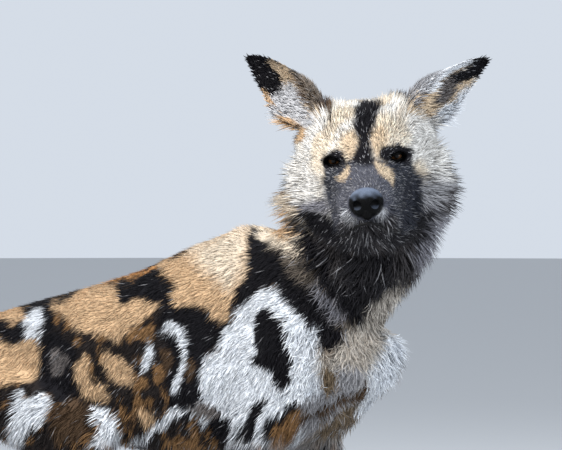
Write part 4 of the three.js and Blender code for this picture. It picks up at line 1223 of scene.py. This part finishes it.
def lid(name, side, rise):
    """A closed band from the inner to the outer corner of the eye. Its rim lies rise*(1 - (t/0.78)^2) + 9t
    degrees up, and beyond the corners of the opening the two rims meet."""
    t = np.linspace(-1, 1, 61)
    rim = rise * np.maximum(1 - (t / 0.78) ** 2, 0) + 9 * t
    profile = blend_rows(np.array(LID_PROFILE + LID_PROFILE[:1], float), np.linspace(0, 1, 34)[:-1])
    lift = np.radians(rim[:, None] + np.sign(rise) * profile[None, :, 0])
    turned = np.radians((LID_YAW + 58 * t) * side)[:, None]
    reach = profile[None, :, 1] - 0.8 * np.abs(t[:, None]) ** 3
    grid = np.stack([np.cos(turned) * np.cos(lift), np.sin(turned) * np.cos(lift), np.sin(lift)], -1)
    points, faces = closed_loft(grid * reach[..., None] + [0, EYE_HALF_SPACING * side, 0])
    piece = new_mesh(name, from_head(points * MM), faces)
    unwrap(piece)
    return piece


eyes = {name: eye(name, side) for name, side in zip(("eye_right", "eye_left"), SIDES)}
lids = [lid(f"lid_{part}_{where}", side, rise) for where, side in zip(("right", "left"), SIDES)
        for part, rise in (("upper", 10), ("lower", -15))]
print(len(eyes), "eyes and", len(lids), "lids")

# %% [markdown]
# The nose pad is a few eggs joined by a voxel remesh, with the nostrils, their side slits and the groove of
# the lip cut out of it. Its top is painted paler and blue-grey, a painted reflection of the sky. The lips are
# a thin dark bead that follows the line of the mouth.
# %% Nose and lips
PAD_BLACK, PAD_PAINTED_REFLECTION = linear(7, 7, 8), linear(100, 110, 128)
NOSE_EGGS = [([87, 0, -45], [16.4, 21.4, 16]), ([89, 8, -55], [12, 9.5, 9]), ([89, 0, -59], [11, 8, 11])]
NOSTRILS = [
    ([104, 12.5, -49.5], [10, 7.6, 6.6]),
    ([101, 19.5, -47], [6, 6, 3.4]),
    ([102.5, 0, -64], [3.4, 0.8, 13]),
]

pad = remeshed(joined("nose_pad", head_eggs(NOSE_EGGS, 28)), "nose_pad", 0.0008, 6)
holes = remeshed(joined("nostrils", head_eggs(NOSTRILS, 28)), "nostrils", 0.0006, 0)
cut = pad.modifiers.new("nostrils", "BOOLEAN")
cut.operation = "DIFFERENCE"
cut.object = holes
smooth(pad, 4)
pad = applied(pad, "nose_pad")
bpy.data.objects.remove(holes)
unwrap(pad)
pad_points = read_points(pad)
# Painted reflection: the faces of the pad that look up are painted blue-grey, as if the sky shone in them
upward = (read_normals(pad) @ HEAD_AXES)[:, Z] + 0.2 * field(pad_points, 0.006, 15)
painted_reflection = ease(upward, 0.1, 0.95) * (0.3 + 0.7 * within(to_head(pad_points) / MM, (Z, -50, -44)))
set_colours(pad, mix(PAD_BLACK, PAD_PAINTED_REFLECTION, painted_reflection))


def lip_line():
    """A bead, flat against the teeth, from one corner of the mouth round the front to the other."""
    half = along_line(MOUTH[:4], 40)
    path = np.concatenate([half[::-1] * [1, -1, 1], half[1:]])
    rows = [[*place, 2.0, 1.8, 1.6, 2] for place in path * [0.97, 0.94, 1]]
    points, faces = closed_loft(loft(rows, (0, 0, 1), 160, 12))
    return new_mesh("lips", from_head(points * MM), faces)


lips = lip_line()
unwrap(lips)
print("nose pad:", len(pad.data.polygons), "faces")

# %% [markdown]
# Whiskers are long thin hairs in four rows on each side of the muzzle.
# %% Whiskers
def whiskers():
    random = np.random.default_rng(71)
    place, way = [], []
    for side in SIDES:
        for row, k in np.ndindex(4, 4):
            place.append([80 - 9 * k - 2 * row, side * (29 + 2.4 * k), -58 - 7 * row + 2 * k])
            way.append([0.35 - 0.2 * k, side, -0.35 - 0.12 * row])
    count = len(place)
    roots = from_head((np.array(place) + random.normal(0, 1.2, (count, 3))) * MM)
    lie = np.array(way) @ HEAD_AXES.T
    normals = unit(np.cross(np.cross(lie, [0, 0, 1]), lie))
    length = random.uniform(0.03, 0.055, count)
    width = np.full(count, 0.0007)
    lift = np.radians(random.uniform(0, 14, count))
    bend = np.radians(np.full(count, 50))
    uv = random.random((count, 2)) * 0.9 + 0.05
    colours = np.tile(BLACK, (count, 1))
    return tufts("whiskers", roots, normals, lie, length, width, lift, bend, colours, uv, rings=3)


whisker_mesh = whiskers()
print("whiskers:", len(whisker_mesh.data.polygons), "faces")

# %% [markdown]
# The markings are in the attribute coat, with painted shade on the skin and the hair roots and a painted
# reflection on the nose pad; the materials add fine streaks to them and a sheen, dull on hair.
# The bare skin of the nose has a pebbled bump, the eyes a thin clear coat, and the claws are dark horn.
# %% Materials
def streaks():
    """A node group: a shade that varies from place to place and a fine height, from Object coordinates."""
    group = bpy.data.node_groups.new("streaks", "ShaderNodeTree")
    for socket, way in (("Size", "INPUT"), ("Shade", "OUTPUT"), ("Height", "OUTPUT")):
        group.interface.new_socket(socket, in_out=way, socket_type="NodeSocketFloat")
    nodes, links = group.nodes, group.links
    start, end = nodes.new("NodeGroupInput"), nodes.new("NodeGroupOutput")
    where = nodes.new("ShaderNodeTexCoord")
    noise = nodes.new("ShaderNodeTexNoise")
    noise.inputs["Detail"].default_value = 4
    spread = nodes.new("ShaderNodeMapRange")
    for socket, value in (("From Min", 0.3), ("From Max", 0.7), ("To Min", 0.78), ("To Max", 1.16)):
        spread.inputs[socket].default_value = value
    links.new(where.outputs["Object"], noise.inputs["Vector"])
    links.new(start.outputs["Size"], noise.inputs["Scale"])
    links.new(noise.outputs["Fac"], spread.inputs["Value"])
    links.new(spread.outputs["Result"], end.inputs["Shade"])
    links.new(noise.outputs["Fac"], end.inputs["Height"])
    return group


STREAKS = streaks()


def coat_material(name, roughness, size, bump, colour=None, specular=0.35):
    """The markings from the attribute coat, or one colour, times the streaks' shade, with their bump."""
    made = bpy.data.materials.new(name)
    made.use_nodes = True
    nodes, links = made.node_tree.nodes, made.node_tree.links
    shader = nodes["Principled BSDF"]
    shader.inputs["Roughness"].default_value = roughness
    shader.inputs["Specular IOR Level"].default_value = specular
    grain = nodes.new("ShaderNodeGroup")
    grain.node_tree = STREAKS
    grain.inputs["Size"].default_value = size
    shaded = nodes.new("ShaderNodeVectorMath")
    shaded.operation = "SCALE"
    links.new(grain.outputs["Shade"], shaded.inputs["Scale"])
    if colour is None:
        mark = nodes.new("ShaderNodeVertexColor")
        mark.layer_name = "coat"
        links.new(mark.outputs["Color"], shaded.inputs[0])
    else:
        shaded.inputs[0].default_value = colour
    links.new(shaded.outputs["Vector"], shader.inputs["Base Color"])
    height = nodes.new("ShaderNodeBump")
    height.inputs["Distance"].default_value = bump
    links.new(grain.outputs["Height"], height.inputs["Height"])
    links.new(height.outputs["Normal"], shader.inputs["Normal"])
    return made


hair = coat_material("hair", 0.62, 180, 0.0004, specular=0.08)
under_coat = coat_material("under_coat", 0.85, 420, 0.0012, specular=0.1)
eye_glass = coat_material("eye", 0.16, 300, 0.0, specular=0.2)
eye_glass.node_tree.nodes["Principled BSDF"].inputs["Coat Weight"].default_value = 0.12
lid_skin = coat_material("lid_skin", 0.6, 500, 0.0003, linear(13, 12, 13), 0.12)
nose_skin = coat_material("nose_skin", 0.5, 900, 0.0009, specular=0.06)
horn = coat_material("horn", 0.38, 220, 0.0002, linear(36, 31, 28), 0.5)


def dress(piece, material, nodes=()):
    """The piece gets its material and slot, rides on the body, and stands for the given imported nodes."""
    piece.data.materials.clear()
    piece.data.materials.append(material)
    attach(piece, "root")
    if nodes:
        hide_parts(*nodes)


dress(skin, under_coat, FLESH)
for piece in coat:
    dress(piece, hair)
for name, piece in ear_skins.items():
    dress(piece, under_coat, [name])
    dress(ear_coats[name], hair)
for name, piece in eyes.items():
    dress(piece, eye_glass, [name])
for piece in [*lids, lips]:
    dress(piece, lid_skin)
dress(pad, nose_skin, ["nose"])
dress(whisker_mesh, hair)
claws = [node for name, node in frame["nodes"].items() if name.startswith("claw")]
for claw in claws:
    claw.data.materials.clear()
    claw.data.materials.append(horn)
print(len(coat) + len(ear_coats), "pieces of coat and", len(claws), "claws dressed")

# %% [markdown]
# A broad pale floor that ends in a soft horizon, a pale sky, and large soft lights as on an overcast day.
# The view transform Standard shows the coat's colours as they are given.
# %% Floor and lights
FLOOR_RADIUS, FLOOR_SIDES = 14, 96
turned = np.linspace(0, 2 * np.pi, FLOOR_SIDES, endpoint=False)
floor_points = np.stack([np.cos(turned), np.sin(turned), 0 * turned], -1) * FLOOR_RADIUS
floor = new_mesh("floor", floor_points, [range(FLOOR_SIDES)])
floor_paint = bpy.data.materials.new("floor")
floor_paint.use_nodes = True
floor_shader = floor_paint.node_tree.nodes["Principled BSDF"]
floor_shader.inputs["Base Color"].default_value = (0.5, 0.51, 0.52, 1)
floor_shader.inputs["Roughness"].default_value = 0.9
floor.data.materials.append(floor_paint)

world = bpy.data.worlds.new("sky")
bpy.context.scene.world = world
world.use_nodes = True
sky = world.node_tree.nodes["Background"]
sky.inputs["Color"].default_value = (0.83, 0.9, 1.0, 1)
sky.inputs["Strength"].default_value = 0.8
bpy.context.scene.view_settings.view_transform = "Standard"


def area_light(name, offset, size, energy, colour):
    """A square lamp, offset from the eyes to the camera's right, up and towards it, aimed at the chest."""
    place = EYE_MIDPOINT + VIEW_RIGHT * offset[0] + VIEW_UP * offset[1] + TO_CAMERA * offset[2]
    back = unit(place - (BODY_ORIGIN + [0, 0, 0.5]))
    right = unit(np.cross([0, 0, 1], back))
    lamp = bpy.data.lights.new(name, "AREA")
    lamp.size = size
    lamp.energy = energy
    lamp.color = colour
    aim(placed(name, lamp), right, np.cross(back, right), back, place)


area_light("key", (-2.3, 2.0, 1.6), 2.2, 190, (1.0, 0.98, 0.95))
area_light("fill", (2.6, 0.8, 1.6), 2.4, 80, (0.9, 0.95, 1.0))
area_light("back", (0.6, 2.2, -2.4), 1.8, 60, (0.9, 0.95, 1.0))
print("floor", 2 * FLOOR_RADIUS, "metres across, and three lamps")

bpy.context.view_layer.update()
